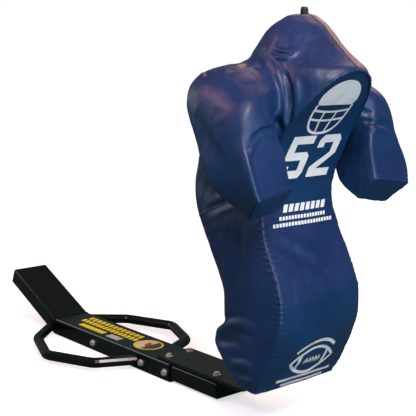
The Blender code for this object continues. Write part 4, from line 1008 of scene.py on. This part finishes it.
# %% [markdown]
# A corner seam is sewn a little short, so the cloth beside it gathers into ripples square to the seam,
# about 20 mm apart. They are strongest over the belly. The face panel is pulled flat behind the hood's
# brim, so the skin steps in there. Last comes the unevenness that cloth always has: a noise stretched
# down the body, a millimetre or two deep.

# %% Puckers, the face panel and the cloth's own unevenness
RIPPLE, RIPPLE_DEPTH = 0.020, 0.0040
GATHER_REACH = 0.022               # how far from the seam the cloth gathers
GATHER_NEAR, GATHER_FAR = 1.0, 0.45
GROOVE_DEPTH, GROOVE_REACH = 0.0016, 0.006


def corner_line(mirror, low, high, steps):
    """The front panel's edge between two heights, which over the face is the hood's brim."""
    found = []
    for height in np.linspace(low, high, steps):
        x = line_at(SIDE_LINE, height) - line_at(EDGE_LINE, height)
        y = line_at(FRONT_LINE, height) + line_at(CROWN_LINE, height)
        found.append((mirror * x, y + PAD_SHIFT.y, height))
    return found


for mirror in (1, -1):
    away, share = distance_along(points, corner_line(mirror, 0.24, 0.84, 60))
    strength = np.exp(-(away / GATHER_REACH) ** 2) * np.clip(np.sin(np.pi * share), 0, 1) ** 0.7
    phase = points[:, 2] / RIPPLE * math.tau + 2.6 * np.sin(points[:, 2] * 31.0 + mirror)
    pull = 0.35 + 0.65 * np.sin(points[:, 2] * 19.0 + 0.7 * mirror) ** 2
    gather = GATHER_NEAR if mirror < 0 else GATHER_FAR
    total += gather * pull * strength * RIPPLE_DEPTH * (np.sin(phase) * 0.6 + np.sin(phase * 1.7 + 1.0) * 0.4)
    total -= GROOVE_DEPTH * np.exp(-(away / GROOVE_REACH) ** 2)
print("ripples from one to the next in mm:", RIPPLE * 1000)

# %% The face panel and the unevenness
BRIM_STEP, STEP_SOFTNESS = 0.007, 0.012
FACE_LOW, FACE_HIGH = 0.86, 1.205
WAVES, WAVE_DEPTH = Vector((11, 11, 4.5)), 0.0022
DIMPLES, DIMPLE_DEPTH = Vector((42, 42, 26)), 0.0007

heights = np.clip(points[:, 2], FACE_LOW, FACE_HIGH)
table = np.linspace(FACE_LOW, FACE_HIGH, 60)
front_there = np.interp(heights, table, [line_at(FRONT_LINE, h) + PAD_SHIFT.y for h in table])
edge_there = np.interp(heights, table, [line_at(SIDE_LINE, h) - line_at(EDGE_LINE, h) for h in table])
inside = np.clip((edge_there - np.abs(points[:, 0])) / STEP_SOFTNESS, 0, 1)
upper = np.clip((points[:, 2] - 0.90) / 0.10, 0, 1) * np.clip((1.203 - points[:, 2]) / 0.010, 0, 1)
on_face = (points[:, 1] < front_there + 0.030) & (points[:, 2] > 0.88) & (points[:, 2] < 1.204)
total -= np.where(on_face, BRIM_STEP * inside * upper, 0.0)
total += WAVE_DEPTH * np.array([noise.fractal(Vector(p) * WAVES, 0.9, 2.1, 3) for p in points])
total += DIMPLE_DEPTH * np.array([noise.noise(Vector(p) * DIMPLES) for p in points])
form.data.vertices.foreach_set("co", (points + normals * total[:, None]).astype(np.float32).ravel())
form.data.update()
settle = form.modifiers.new("settle", "SMOOTH")
settle.factor, settle.iterations = 0.35, 1
applied(form)
print("moved by at most", round(np.abs(total).max() * 1000, 1), "mm")

# %% [markdown]
# ## Vinyl-coated cloth
# The cover is polyester cloth with a skin of navy PVC, the stuff of gym mats and truck tarpaulins. The
# PVC is embossed with a fine leathery grain, so highlights on it are soft and a little broken, and they
# lean to violet because the pigment does. Cloth that faces up is tinted violet and cloth that faces down
# keeps its teal: this is painted sheen, the warm light from above drawn into the colour. Where it is
# creased the gloss is worn. The real grain is under a millimetre and would not show here, so it is drawn
# about 2 mm across.

# %% The cover's cloth
GRAIN_MM = 2.2
cloth, cloth_shader = new_material("navy_pvc_coated_polyester", "#0B3862", IOR=1.52, Specular_IOR_Level=0.36,
                                   Sheen_Weight=0.06, Sheen_Roughness=0.45, Sheen_Tint=linear("#8A6A80"))
cloth_coordinates = add(cloth, "ShaderNodeTexCoord")
cloth_place, cloth_facing = cloth_coordinates.outputs["Object"], cloth_coordinates.outputs["Normal"]
cloth_clouds = add(cloth, "ShaderNodeTexNoise", {"Scale": 6.0, "Detail": 5.0, "Roughness": 0.6},
                   Vector=cloth_place)
cloth_tone = add(cloth, "ShaderNodeValToRGB", stops=[(0.30, "#042F50"), (0.52, "#07385E"), (0.75, "#0E3C68")],
                 i0=cloth_clouds.outputs[0])
# Painted sheen: cloth that faces up gets a violet tone standing in for the warm light from above, and cloth
# that faces down keeps the teal base tone.
cloth_painted_sheen = add(cloth, "ShaderNodeValToRGB",
                  stops=[(0.30, "#0E2449"), (0.52, "#152D58"), (0.75, "#243160")], i0=cloth_clouds.outputs[0])
cloth_up = add(cloth, "ShaderNodeSeparateXYZ", i0=cloth_facing)
cloth_sheen_share = add(cloth, "ShaderNodeMapRange", {1: -0.35, 2: 0.45}, i0=cloth_up.outputs["Z"])
cloth_tone_with_sheen = add(cloth, "ShaderNodeMix", {"data_type": "RGBA"}, i0=cloth_sheen_share.outputs[0],
                  i6=cloth_tone.outputs[0], i7=cloth_painted_sheen.outputs[0])
cloth_scuffs = add(cloth, "ShaderNodeTexNoise", {"Scale": 55.0, "Detail": 8.0, "Roughness": 0.72},
                   Vector=cloth_place)
cloth_wear = add(cloth, "ShaderNodeValToRGB", stops=[(0.0, 0.0), (0.60, 0.0), (0.78, 0.35)],
                 i0=cloth_scuffs.outputs[0])
cloth_colour = add(cloth, "ShaderNodeMix", {"data_type": "RGBA", 7: linear("#4A4A72")},
                   i0=cloth_wear.outputs[0], i6=cloth_tone_with_sheen.outputs[2])
link(cloth, cloth_colour.outputs[2], cloth_shader, "Base Color")
cloth_gloss = add(cloth, "ShaderNodeValToRGB", stops=[(0.30, 0.36), (0.70, 0.47)], i0=cloth_scuffs.outputs[0])
link(cloth, cloth_gloss.outputs[0], cloth_shader, "Roughness")
cloth_grain = add(cloth, "ShaderNodeTexVoronoi",
                  {"Scale": 1000.0 / GRAIN_MM, "feature": "SMOOTH_F1", "Smoothness": 0.6}, Vector=cloth_place)
cloth_relief = add(cloth, "ShaderNodeBump", {"Strength": 0.20, "Distance": 0.0005},
                   Height=cloth_grain.outputs["Distance"])
cloth_crinkle = add(cloth, "ShaderNodeTexNoise",
                    {"Scale": 38.0, "Detail": 4.0, "Roughness": 0.55, "Distortion": 0.5}, Vector=cloth_place)
cloth_bump = add(cloth, "ShaderNodeBump", {"Strength": 0.22, "Distance": 0.0035},
                 Height=cloth_crinkle.outputs[0], Normal=cloth_relief.outputs[0])
link(cloth, cloth_bump.outputs[0], cloth_shader, "Normal")
print("cloth grain in mm:", GRAIN_MM)

# %% [markdown]
# The cover is sewn with bonded polyester thread, which is glossy and hard, and its twist shows as fine
# slanted lines. The loop is nylon webbing, whose weave is a grid of small ribs. The prints are
# screen-printed with a thick white ink that cures to a slightly chalky film.

# %% Thread, webbing and ink
def bonded_thread(name, colour, roughness):
    """Twisted thread under a thin bond."""
    material, shader = new_material(name, colour, Roughness=roughness, Sheen_Weight=0.2)
    place = add(material, "ShaderNodeTexCoord").outputs["Object"]
    twist = add(material, "ShaderNodeTexWave", {"Scale": 420.0, "bands_direction": "DIAGONAL"}, Vector=place)
    bump = add(material, "ShaderNodeBump", {"Strength": 0.4, "Distance": 0.0003}, Height=twist.outputs[1])
    link(material, bump.outputs[0], shader, "Normal")
    return material


thread = bonded_thread("bonded_polyester_thread", "#20264F", 0.55)
pale_thread = bonded_thread("pale_bonded_thread", "#A9B0BE", 0.5)

webbing, webbing_shader = new_material("black_woven_webbing", "#0D0D0F", Roughness=0.7, Sheen_Weight=0.25)
webbing_place = add(webbing, "ShaderNodeTexCoord").outputs["Object"]
webbing_rows = add(webbing, "ShaderNodeTexWave", {"Scale": 160.0, "bands_direction": "X"},
                   Vector=webbing_place)
webbing_cross = add(webbing, "ShaderNodeTexWave", {"Scale": 110.0, "bands_direction": "Z"},
                    Vector=webbing_place)
webbing_weave = add(webbing, "ShaderNodeMath", {"operation": "MULTIPLY"},
                    i0=webbing_rows.outputs[1], i1=webbing_cross.outputs[1])
# Painted shade and highlight: the grooves between the ribs are darker and the ribs lighter, following the
# weave that the bump raises.
webbing_painted_rib_shade = add(webbing, "ShaderNodeValToRGB", stops=[(0.0, "#08080A"), (0.8, "#24242A")],
                   i0=webbing_weave.outputs[0])
link(webbing, webbing_painted_rib_shade.outputs[0], webbing_shader, "Base Color")
webbing_bump = add(webbing, "ShaderNodeBump", {"Strength": 0.7, "Distance": 0.0006},
                   Height=webbing_weave.outputs[0])
link(webbing, webbing_bump.outputs[0], webbing_shader, "Normal")

ink, ink_shader = new_material("white_screen_print_ink", "#E9EFE6", Roughness=0.48, IOR=1.5)
ink_place = add(ink, "ShaderNodeTexCoord").outputs["Object"]
ink_clouds = add(ink, "ShaderNodeTexNoise", {"Scale": 70.0, "Detail": 6.0, "Roughness": 0.65},
                 Vector=ink_place)
ink_tone = add(ink, "ShaderNodeValToRGB", stops=[(0.30, "#E4EDE4"), (0.60, "#F4F8F0"), (0.80, "#FAFBF6")],
               i0=ink_clouds.outputs[0])
link(ink, ink_tone.outputs[0], ink_shader, "Base Color")
ink_bump = add(ink, "ShaderNodeBump", {"Strength": 0.15, "Distance": 0.0006}, Height=ink_clouds.outputs[0])
link(ink, ink_bump.outputs[0], ink_shader, "Normal")
print("finishes made:", len(bpy.data.materials))

# %% [markdown]
# ## One skin, three pieces
# The arms bend at the shoulders and the body doesn't, so the skin is parted where each sleeve is sewn
# on. The normals are taken before the parting, so no edge shows at the shoulder.

# %% Parting the skin
SHOULDER = 0.180                   # the sleeves are sewn on this far from the middle
SLEEVE_LOW = 0.74                  # and the arms end above this height


def parted_skin():
    """The skin's faces in three groups: body, left arm and right arm."""
    mesh = form.data
    centres = np.zeros(len(mesh.polygons) * 3)
    mesh.polygons.foreach_get("center", centres)
    centres = centres.reshape(-1, 3)
    beyond = (np.abs(centres[:, 0]) > SHOULDER) & (centres[:, 2] > SLEEVE_LOW)
    bm = bmesh.new()
    bm.from_mesh(mesh)
    bm.faces.ensure_lookup_table()
    groups = np.zeros(len(mesh.polygons), int)
    for group, mirror in ((1, 1), (2, -1)):
        start = int(np.argmax(centres[:, 0] * mirror))
        waiting, seen_faces = [bm.faces[start]], {start}
        while waiting:
            face = waiting.pop()
            groups[face.index] = group
            for edge in face.edges:
                for other in edge.link_faces:
                    outward = centres[other.index, 0] * mirror > 0
                    if other.index not in seen_faces and beyond[other.index] and outward:
                        seen_faces.add(other.index)
                        waiting.append(other)
    bm.free()
    return groups


def skin_piece(name, chosen):
    """A piece of the skin from some of its faces, with the whole skin's normals."""
    mesh = form.data
    used = sorted({v for k in chosen for v in mesh.polygons[k].vertices})
    renumbered = {v: i for i, v in enumerate(used)}
    faces = [tuple(renumbered[v] for v in mesh.polygons[k].vertices) for k in chosen]
    piece = make(name, [mesh.vertices[v].co for v in used], faces, cloth)
    piece.data.normals_split_custom_set_from_vertices([tuple(mesh.vertices[v].normal) for v in used])
    return piece


def surface_of(thing):
    """A mesh object's surface, ready for questions such as which point of it is nearest."""
    corners = [v.co.copy() for v in thing.data.vertices]
    return BVHTree.FromPolygons(corners, [tuple(p.vertices) for p in thing.data.polygons])


groups = parted_skin()
skin = surface_of(form)
body_skin = skin_piece("cover_skin", np.nonzero(groups == 0)[0].tolist())
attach(body_skin, "pad")
for (side_name, mirror), group in zip(SIDES, (1, 2)):
    sleeve_skin = skin_piece(f"sleeve_skin_{side_name}", np.nonzero(groups == group)[0].tolist())
    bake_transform(sleeve_skin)
    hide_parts(f"sleeve_{side_name}", f"sleeve_end_{side_name}", f"foam_arm_{side_name}")
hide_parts(*[n for n in nodes if n.startswith("cover_")],
            "foam_upper", "foam_lower_front", "foam_lower_rear")
bpy.data.objects.remove(form)
print("faces in body and arms:", [int((groups == g).sum()) for g in (0, 1, 2)])

# %% [markdown]
# ## Seams
# Panels are joined with a plain seam and top-stitched, which leaves a low ridge with a row of stitches
# beside it. Each ridge is a flat strip swept along the skin, and each stitch is a small capsule of
# thread. Real stitches are 4 mm long; these are 5 mm, with 3 mm between them.

# %% Seam tools
STITCH, STITCH_GAP, THREAD_RADIUS = 0.0050, 0.0030, 0.00065
WELT_PITCH, WELT_LIFT = 0.006, 0.0002
SKIN_REACH = 0.04                  # a seam's path may lie this far off the skin
STITCH_END = 0.0007                # how far a stitch's ends dip into the cloth


def on_skin(path, surface, lift=0.0):
    """A path moved onto the nearest point of a surface, and the surface's normals there."""
    places, ups = [], []
    for p in path:
        place, normal, _, _ = surface.find_nearest(Vector(p), SKIN_REACH)
        if place is None:
            continue
        places.append(place + normal * lift)
        ups.append(normal)
    return places, ups


def evened(path, pitch, closed=False):
    """Points at an even pitch along a path."""
    path = [Vector(p) for p in path] + ([Vector(path[0])] if closed else [])
    lengths = [0.0]
    for a, b in zip(path, path[1:]):
        lengths.append(lengths[-1] + (b - a).length)
    wanted = np.linspace(0, lengths[-1], max(int(lengths[-1] / pitch), 2) + 1)
    if closed:
        wanted = wanted[:-1]
    return [
        Vector([float(np.interp(w, lengths, [p[axis] for p in path])) for axis in range(3)]) for w in wanted
    ]


def welt(name, path, body, half_width, height, closed=False):
    """A low ridge of doubled cloth along a path on the skin."""
    places, ups = on_skin(evened(path, WELT_PITCH, closed), skin, WELT_LIFT)
    points, faces = sweep(places, lambda t: half_width, sides=8, closed=closed, flat=height, normals=ups)
    make(name, points, faces, cloth, body)


def stitches(name, path, body, material=thread, closed=False, offset=0.0, surface=skin):
    """A row of stitches along a path on the skin, offset sideways from it."""
    places, ups = on_skin(evened(path, STITCH_GAP, closed), surface)
    moved = []
    for before, place, after, up in zip(places, places[1:], places[2:], ups[1:]):
        moved.append(place + (after - before).normalized().cross(up) * offset)
    row = evened(moved, STITCH + STITCH_GAP)
    points, faces = [], []
    for a, b in zip(row, row[1:]):
        near, normal, _, _ = surface.find_nearest((a + b) / 2, 0.03)
        if near is None:
            continue
        middle = near + normal * THREAD_RADIUS * 0.6
        half_stitch = (b - a).normalized() * STITCH / 2
        ends = [middle - half_stitch - normal * STITCH_END, middle - half_stitch * 0.6,
                middle + half_stitch * 0.6, middle + half_stitch - normal * STITCH_END]
        first = len(points)
        made, around = sweep(ends, lambda t: THREAD_RADIUS * (0.6 + 0.4 * math.sin(math.pi * t)), sides=6,
                             normals=[normal] * 4)
        points += made
        faces += [tuple(first + k for k in face) for face in around]
    make(name, points, faces, material, body)


for side_name, mirror in SIDES:
    seam = corner_line(mirror, 0.165, 0.845, 90)
    welt(f"front_seam_{side_name}", seam, "pad", 0.0026, 0.4)
    stitches(f"front_stitches_{side_name}", seam, "pad", offset=mirror * 0.006)
print("front seams made")

# %% [markdown]
# The brim is turned over and sewn down, so it ends in a firm rounded lip above the face panel. Its
# path goes up one side, round the peak and down the other.

# %% The hood's brim
PEAK_RING = 1.2045
brim = [Vector(p) for p in corner_line(-1, 0.90, 1.2029, 90)[:-1]]
peak_front = line_at(FRONT_LINE, PEAK_RING)
peak = [Vector((x, peak_front, PEAK_RING)) + PAD_SHIFT for x in np.linspace(-0.010, 0.010, 5)]
brim = brim + peak + [Vector((-p.x, p.y, p.z)) for p in reversed(brim)]
welt("hood_brim", brim, "pad", 0.0045, 0.62)
stitches("brim_stitches", [p + Vector((0, 0, 0.012)) for p in brim], "pad")
print("brim in mm:", round(1000 * sum((b - a).length for a, b in zip(brim, brim[1:]))))

# %% [markdown]
# A cross seam runs round the waist, falls towards the back, and is sewn with pale thread at the sides
# and the back. The hood's middle seam runs from the brim's peak over the crown and down the back.

# %% Waist, middle and hem seams
WAIST_FRONT, WAIST_FALL = 0.850, 0.42
HEM_WELT, HEM_ROW = 0.006, 0.024   # how high the hem's welt and its stitches lie above the cover's edge


def waist_height(y):
    """The cross seam falls towards the back."""
    return WAIST_FRONT - WAIST_FALL * (y - line_at(FRONT_LINE, WAIST_FRONT))


for side_name, mirror in SIDES:
    half_waist = settled_half(WAIST_FRONT, waist_height, 40)
    waist = [Vector((mirror * x, y, z)) + PAD_SHIFT for x, y, z in half_waist]
    welt(f"waist_seam_{side_name}", waist, "pad", 0.0024, 0.35)
    stitches(f"waist_stitches_{side_name}", waist[FRONT_STEPS + 1:], "pad", pale_thread, offset=0.0045)
up_front = [(FRONT_LINE, level) for level in np.linspace(1.21, 1.375, 30)]
down_back = [(REAR_LINE, level) for level in np.linspace(1.375, 0.40, 120)]
middle_line = [Vector((0, line_at(line, level), level)) + PAD_SHIFT for line, level in up_front + down_back]
welt("middle_seam", middle_line, "pad", 0.0026, 0.35)
for side_name, mirror in SIDES:
    stitches(f"middle_stitches_{side_name}", middle_line, "pad", offset=mirror * 0.006)


def hem_path(rise, clear):
    """A path a little above the cover's lower edge, from one side of the leaf's slot round to the other."""
    half_hem = settled_half(HEM_FRONT, lambda y: hem_height(y) + rise)
    ring = [Vector(p) + PAD_SHIFT for p in mirrored_ring(half_hem)]
    ring = [p for p in ring if not (abs(p.x) < half_slot + clear and p.y > bend_low.y - 0.03)]
    turn_at = max(range(len(ring)), key=lambda k: (ring[k] - ring[k - 1]).length)
    return ring[turn_at:] + ring[:turn_at]


welt("bottom_hem", hem_path(HEM_WELT, 0.004), "pad", 0.0034, 0.5)
stitches("hem_stitches", hem_path(HEM_ROW, 0.008), "pad")
print("waist and hem seams made")

# %% [markdown]
# Each sleeve ends in a flat panel, sewn in all round. Its seam is a hard corner, so it gets a welt.

# %% Sleeve ends
for side_name, mirror in SIDES:
    arm_points = arm_forms[mirror][0]
    hand_rim, next_ring = arm_points[:ARM_SIDES], arm_points[ARM_SIDES:2 * ARM_SIDES]
    welt(f"hand_seam_{side_name}", hand_rim, f"arm_{side_name}", 0.0030, 0.6, closed=True)
    stitches(f"hand_stitches_{side_name}", next_ring, f"arm_{side_name}", closed=True)
print("sleeve ends sewn")

# %% [markdown]
# ## Prints
# The number, the pictogram and the bars are screen-printed in white ink: a flat, slightly chalky film
# that follows every fold. Each shape is drawn flat, cut into small triangles and laid on the skin from
# the front. The number and the shapes are generic ones.

# %% Print tools
INK_LIFT = 0.0009
PRINT_PITCH, PRINT_ROUNDS = 0.007, 6    # the triangles' longest side, and how often they are cut at most


def printed(name, outlines):
    """Flat outlines of (x, z) points, laid on the skin as seen from the front."""
    bm = bmesh.new()
    for outline in outlines:
        bm.faces.new([bm.verts.new((x, 0, z)) for x, z in outline])
    bm.normal_update()
    bmesh.ops.triangulate(bm, faces=bm.faces[:], ngon_method="EAR_CLIP")
    for _ in range(PRINT_ROUNDS):
        long_edges = [e for e in bm.edges if e.calc_length() > PRINT_PITCH]
        if not long_edges:
            break
        bmesh.ops.subdivide_edges(bm, edges=long_edges, cuts=1)
        bmesh.ops.triangulate(bm, faces=[f for f in bm.faces if len(f.verts) > 3])
    lost = []
    for v in bm.verts:
        place, normal, _, _ = skin.ray_cast(Vector((v.co.x, -2.0, v.co.z)), Vector((0, 1, 0)), 2.0)
        if place is None:
            lost.append(v)
            continue
        v.co = place + normal * INK_LIFT
    bmesh.ops.delete(bm, geom=lost, context="VERTS")
    bmesh.ops.recalc_face_normals(bm, faces=bm.faces[:])
    mesh = bpy.data.meshes.new(name)
    bm.to_mesh(mesh)
    bm.free()
    mesh.materials.append(ink)
    mesh.shade_smooth()
    film = into_scene(name, mesh)
    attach(film, "pad")


def slanted(outline, x, z, width, height, slant):
    """An outline drawn in a unit box, moved, sized and slanted."""
    return [(x + (u + slant * v) * width, z + v * height) for u, v in outline]


def stroke(path, half_width, closed=False):
    """Quads along a path of (x, z) points, one to each step."""
    path = [np.array(p, float) for p in path]
    count = len(path)
    sides = []
    for k in range(count):
        before = path[k - 1] if closed or k else path[k]
        after = path[(k + 1) % count] if closed or k < count - 1 else path[k]
        along = (after - before) / np.linalg.norm(after - before)
        across = np.array((-along[1], along[0])) * half_width
        sides.append((path[k] - across, path[k] + across))
    steps = range(count if closed else count - 1)
    return [[sides[k][0], sides[(k + 1) % count][0], sides[(k + 1) % count][1], sides[k][1]] for k in steps]


# %% The number
BAR, RISER = 0.30, 0.19            # stroke widths, as shares of a digit's width and height
FIVE = (
    (0.10, 1), (1, 1), (1, 1 - RISER), (BAR, 1 - RISER), (BAR, 0.62), (0.86, 0.62), (1, 0.52), (1, 0.12),
    (0.86, 0), (0.14, 0), (0, 0.12), (0, 0.30), (BAR, 0.30), (BAR, RISER), (1 - BAR, RISER),
    (1 - BAR, 0.62 - RISER), (0, 0.62 - RISER), (0, 1),
)
TWO = (
    (0, 0.88), (0.14, 1), (0.86, 1), (1, 0.88), (1, 0.55), (BAR + 0.04, RISER), (1, RISER), (1, 0), (0, 0),
    (0, RISER + 0.05), (1 - BAR, 0.58), (1 - BAR, 1 - RISER), (BAR, 1 - RISER), (BAR, 0.70), (0, 0.70),
)
DIGIT_WIDTH, DIGIT_HEIGHT, DIGIT_SLANT, NUMBER_LOW = 0.102, 0.140, 0.22, 0.858
digits = [
    slanted(digit, x, NUMBER_LOW, DIGIT_WIDTH, DIGIT_HEIGHT, DIGIT_SLANT)
    for digit, x in ((FIVE, -0.124), (TWO, 0.004))
]
printed("print_number", digits)
print("number's height in mm:", DIGIT_HEIGHT * 1000)

# %% [markdown]
# Above the number is a simple pictogram of a helmet with its cage: a solid dome, and bars below it.

# %% The pictogram
dome = [(0.086 * math.cos(a), 1.112 + 0.064 * math.sin(a)) for a in np.linspace(0, math.pi, 31)]
shapes = [[*dome, (-0.078, 1.098), (0.078, 1.098)]]
CAGE = ((-0.080, 1.098), (-0.078, 1.060), (-0.060, 1.024), (-0.025, 1.008), (0.025, 1.008), (0.060, 1.024),
        (0.078, 1.060), (0.080, 1.098))
CAGE_BAR = 0.0034
shapes += stroke(curve_through(CAGE, 5), 0.0042)
for level, reach in ((1.082, 0.077), (1.054, 0.073)):
    bar = [(x, level - 0.006 * (1 - (x / reach) ** 2)) for x in np.linspace(-reach, reach, 13)]
    shapes += stroke(bar, CAGE_BAR)
for mirror in (-1, 1):
    shapes += stroke([(mirror * x, z) for x, z in ((0.028, 1.080), (0.026, 1.048), (0.020, 1.012))], CAGE_BAR)
printed("print_pictogram", shapes)
print("shapes in the pictogram:", len(shapes))

# %% [markdown]
# Below the number there are three rows of plain bars, and near the hem a ball between two stripes.

# %% Bars and ball
BAR_LEAN = 0.25                    # how far a bar leans, as a share of its height
rows = []
for low, high, start, stop, count, fill in (
    (0.745, 0.771, -0.080, 0.124, 8, 0.72), (0.7205, 0.7325, -0.100, 0.120, 16, 0.70),
    (0.7000, 0.7115, -0.133, 0.148, 20, 0.72),
):
    pitch = (stop - start) / count
    lean = (high - low) * BAR_LEAN
    for x in [start + pitch * k for k in range(count)]:
        rows.append([(x, low), (x + pitch * fill, low), (x + pitch * fill + lean, high), (x + lean, high)])
printed("print_bars", rows)

BALL_X, BALL_Z, BALL_LONG, BALL_HIGH = 0.018, 0.238, 0.100, 0.050
outline = [(BALL_X + BALL_LONG * t, BALL_Z + BALL_HIGH * (1 - t * t)) for t in np.linspace(-1, 1, 25)]
outline += [(BALL_X + BALL_LONG * t, BALL_Z - BALL_HIGH * (1 - t * t)) for t in np.linspace(1, -1, 25)[1:-1]]
ball_shapes = stroke(outline, 0.0055, closed=True)
for t in (-0.62, 0.62):
    band_x, reach = BALL_X + BALL_LONG * t, BALL_HIGH * (1 - t * t)
    ball_shapes += stroke([(band_x, BALL_Z + reach * s) for s in np.linspace(-1, 1, 7)], 0.0070)
ball_shapes += stroke([(BALL_X + s, BALL_Z) for s in np.linspace(-0.040, 0.040, 9)], 0.0040)
for s in np.linspace(-0.030, 0.030, 5):
    ball_shapes += stroke([(BALL_X + s, BALL_Z - 0.013), (BALL_X + s, BALL_Z + 0.013)], 0.0032)
for level, start, stop in ((0.176, -0.112, 0.148), (0.156, -0.085, 0.120)):
    ball_shapes += stroke([(x, level) for x in np.linspace(start, stop, 22)], 0.0052)
arch = [(BALL_X + 0.128 * math.sin(a), 0.196 + 0.118 * math.cos(a)) for a in np.linspace(-0.78, 0.78, 25)]
ball_shapes += stroke(arch, 0.0060)
printed("print_ball", ball_shapes)

# %% [markdown]
# ## Closure and loop
# At the back the cover is closed by a flap over the opening, held by hook-and-loop tape, so that the
# foam can be taken out. On the crown a loop of inch-wide webbing is sewn in, for hanging the figure up.

# %% The closure flap
flap_low, flap_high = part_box("closure_flap")
FLAP_HALF, FLAP_BULGE, FLAP_THICK = 0.026, 0.0032, 0.0024
FLAP_ROWS, FLAP_COLUMNS = 44, 13
SEAM_INSET = 0.006                 # how far inside the flap's ends it is sewn


def thickened(thing, thickness, offset):
    """Gives a sheet its thickness."""
    thick = thing.modifiers.new("thickness", "SOLIDIFY")
    thick.thickness, thick.offset = thickness, offset
    applied(thing)


def from_behind(surface, x, z):
    """Where a line from behind meets a surface, and the surface's normal there."""
    return surface.ray_cast(Vector((x, 0.5, z)), Vector((0, -1, 0)), 2.0)[:2]


flap_points = []
for level in np.linspace(flap_low.z, flap_high.z, FLAP_ROWS):
    for u in np.linspace(-1, 1, FLAP_COLUMNS):
        rise = FLAP_BULGE * (1 - abs(u) ** 6) + 0.0008 * math.sin(level * 83 + u * 2.0)
        hit, normal = from_behind(skin, u * FLAP_HALF, level)
        flap_points.append(hit + normal * (0.0004 + rise))
flap_faces = grid_faces(FLAP_ROWS, FLAP_COLUMNS)
flap = make("closure_flap_cloth", flap_points, flap_faces, cloth, "pad")
thickened(flap, FLAP_THICK, -1.0)
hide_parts("closure_flap")

seam_low, seam_high = flap_low.z + SEAM_INSET, flap_high.z - SEAM_INSET
seam_rim = [(-1, z) for z in np.linspace(seam_low, seam_high, 50)]
seam_rim += [(x, seam_high) for x in np.linspace(-0.9, 0.9, 8)]
seam_rim += [(1, z) for z in np.linspace(seam_high, seam_low, 50)]
flap_surface = surface_of(flap)
flap_hits = [from_behind(flap_surface, x * (FLAP_HALF - 0.005), z) for x, z in seam_rim]
flap_seam = [hit + normal * 0.0004 for hit, normal in flap_hits if hit is not None]
stitches("flap_stitches", flap_seam, "pad", surface=flap_surface)
print("flap's height in mm:", round(1000 * (flap_high.z - flap_low.z)))

# %% The crown's webbing loop
loop_low, loop_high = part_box("crown_loop")
LOOP_HALF, LOOP_THICK = 0.0125, 0.0018
LOOP_ROOT = 0.004                  # how deep the loop's ends are sewn in
LOOP_ROWS, LOOP_COLUMNS = 25, 9
loop_middle = (loop_low.y + loop_high.y) / 2
loop_reach = (loop_high.y - loop_low.y) / 2
loop_rise = loop_high.z - loop_low.z + LOOP_ROOT
arch = []
for t in np.linspace(0, math.pi, LOOP_ROWS):
    arch.append(Vector((0, loop_middle - loop_reach * math.cos(t) * (1 - 0.25 * math.sin(t)),
                        loop_low.z - LOOP_ROOT + loop_rise * math.sin(t) ** 0.7)))
loop_points = []
for k, here in enumerate(arch):
    along = (arch[min(k + 1, LOOP_ROWS - 1)] - arch[max(k - 1, 0)]).normalized()
    out = Vector((0, -along.z, along.y))
    for u in np.linspace(-1, 1, LOOP_COLUMNS):
        sag = 0.0006 * math.sin(k * 1.4 + u)
        loop_points.append(here + Vector((u * LOOP_HALF, 0, 0)) + out * sag)
loop = make("crown_loop_webbing", loop_points, grid_faces(LOOP_ROWS, LOOP_COLUMNS), webbing, "pad")
thickened(loop, LOOP_THICK, 0.0)
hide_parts("crown_loop")
print("flap and loop made")
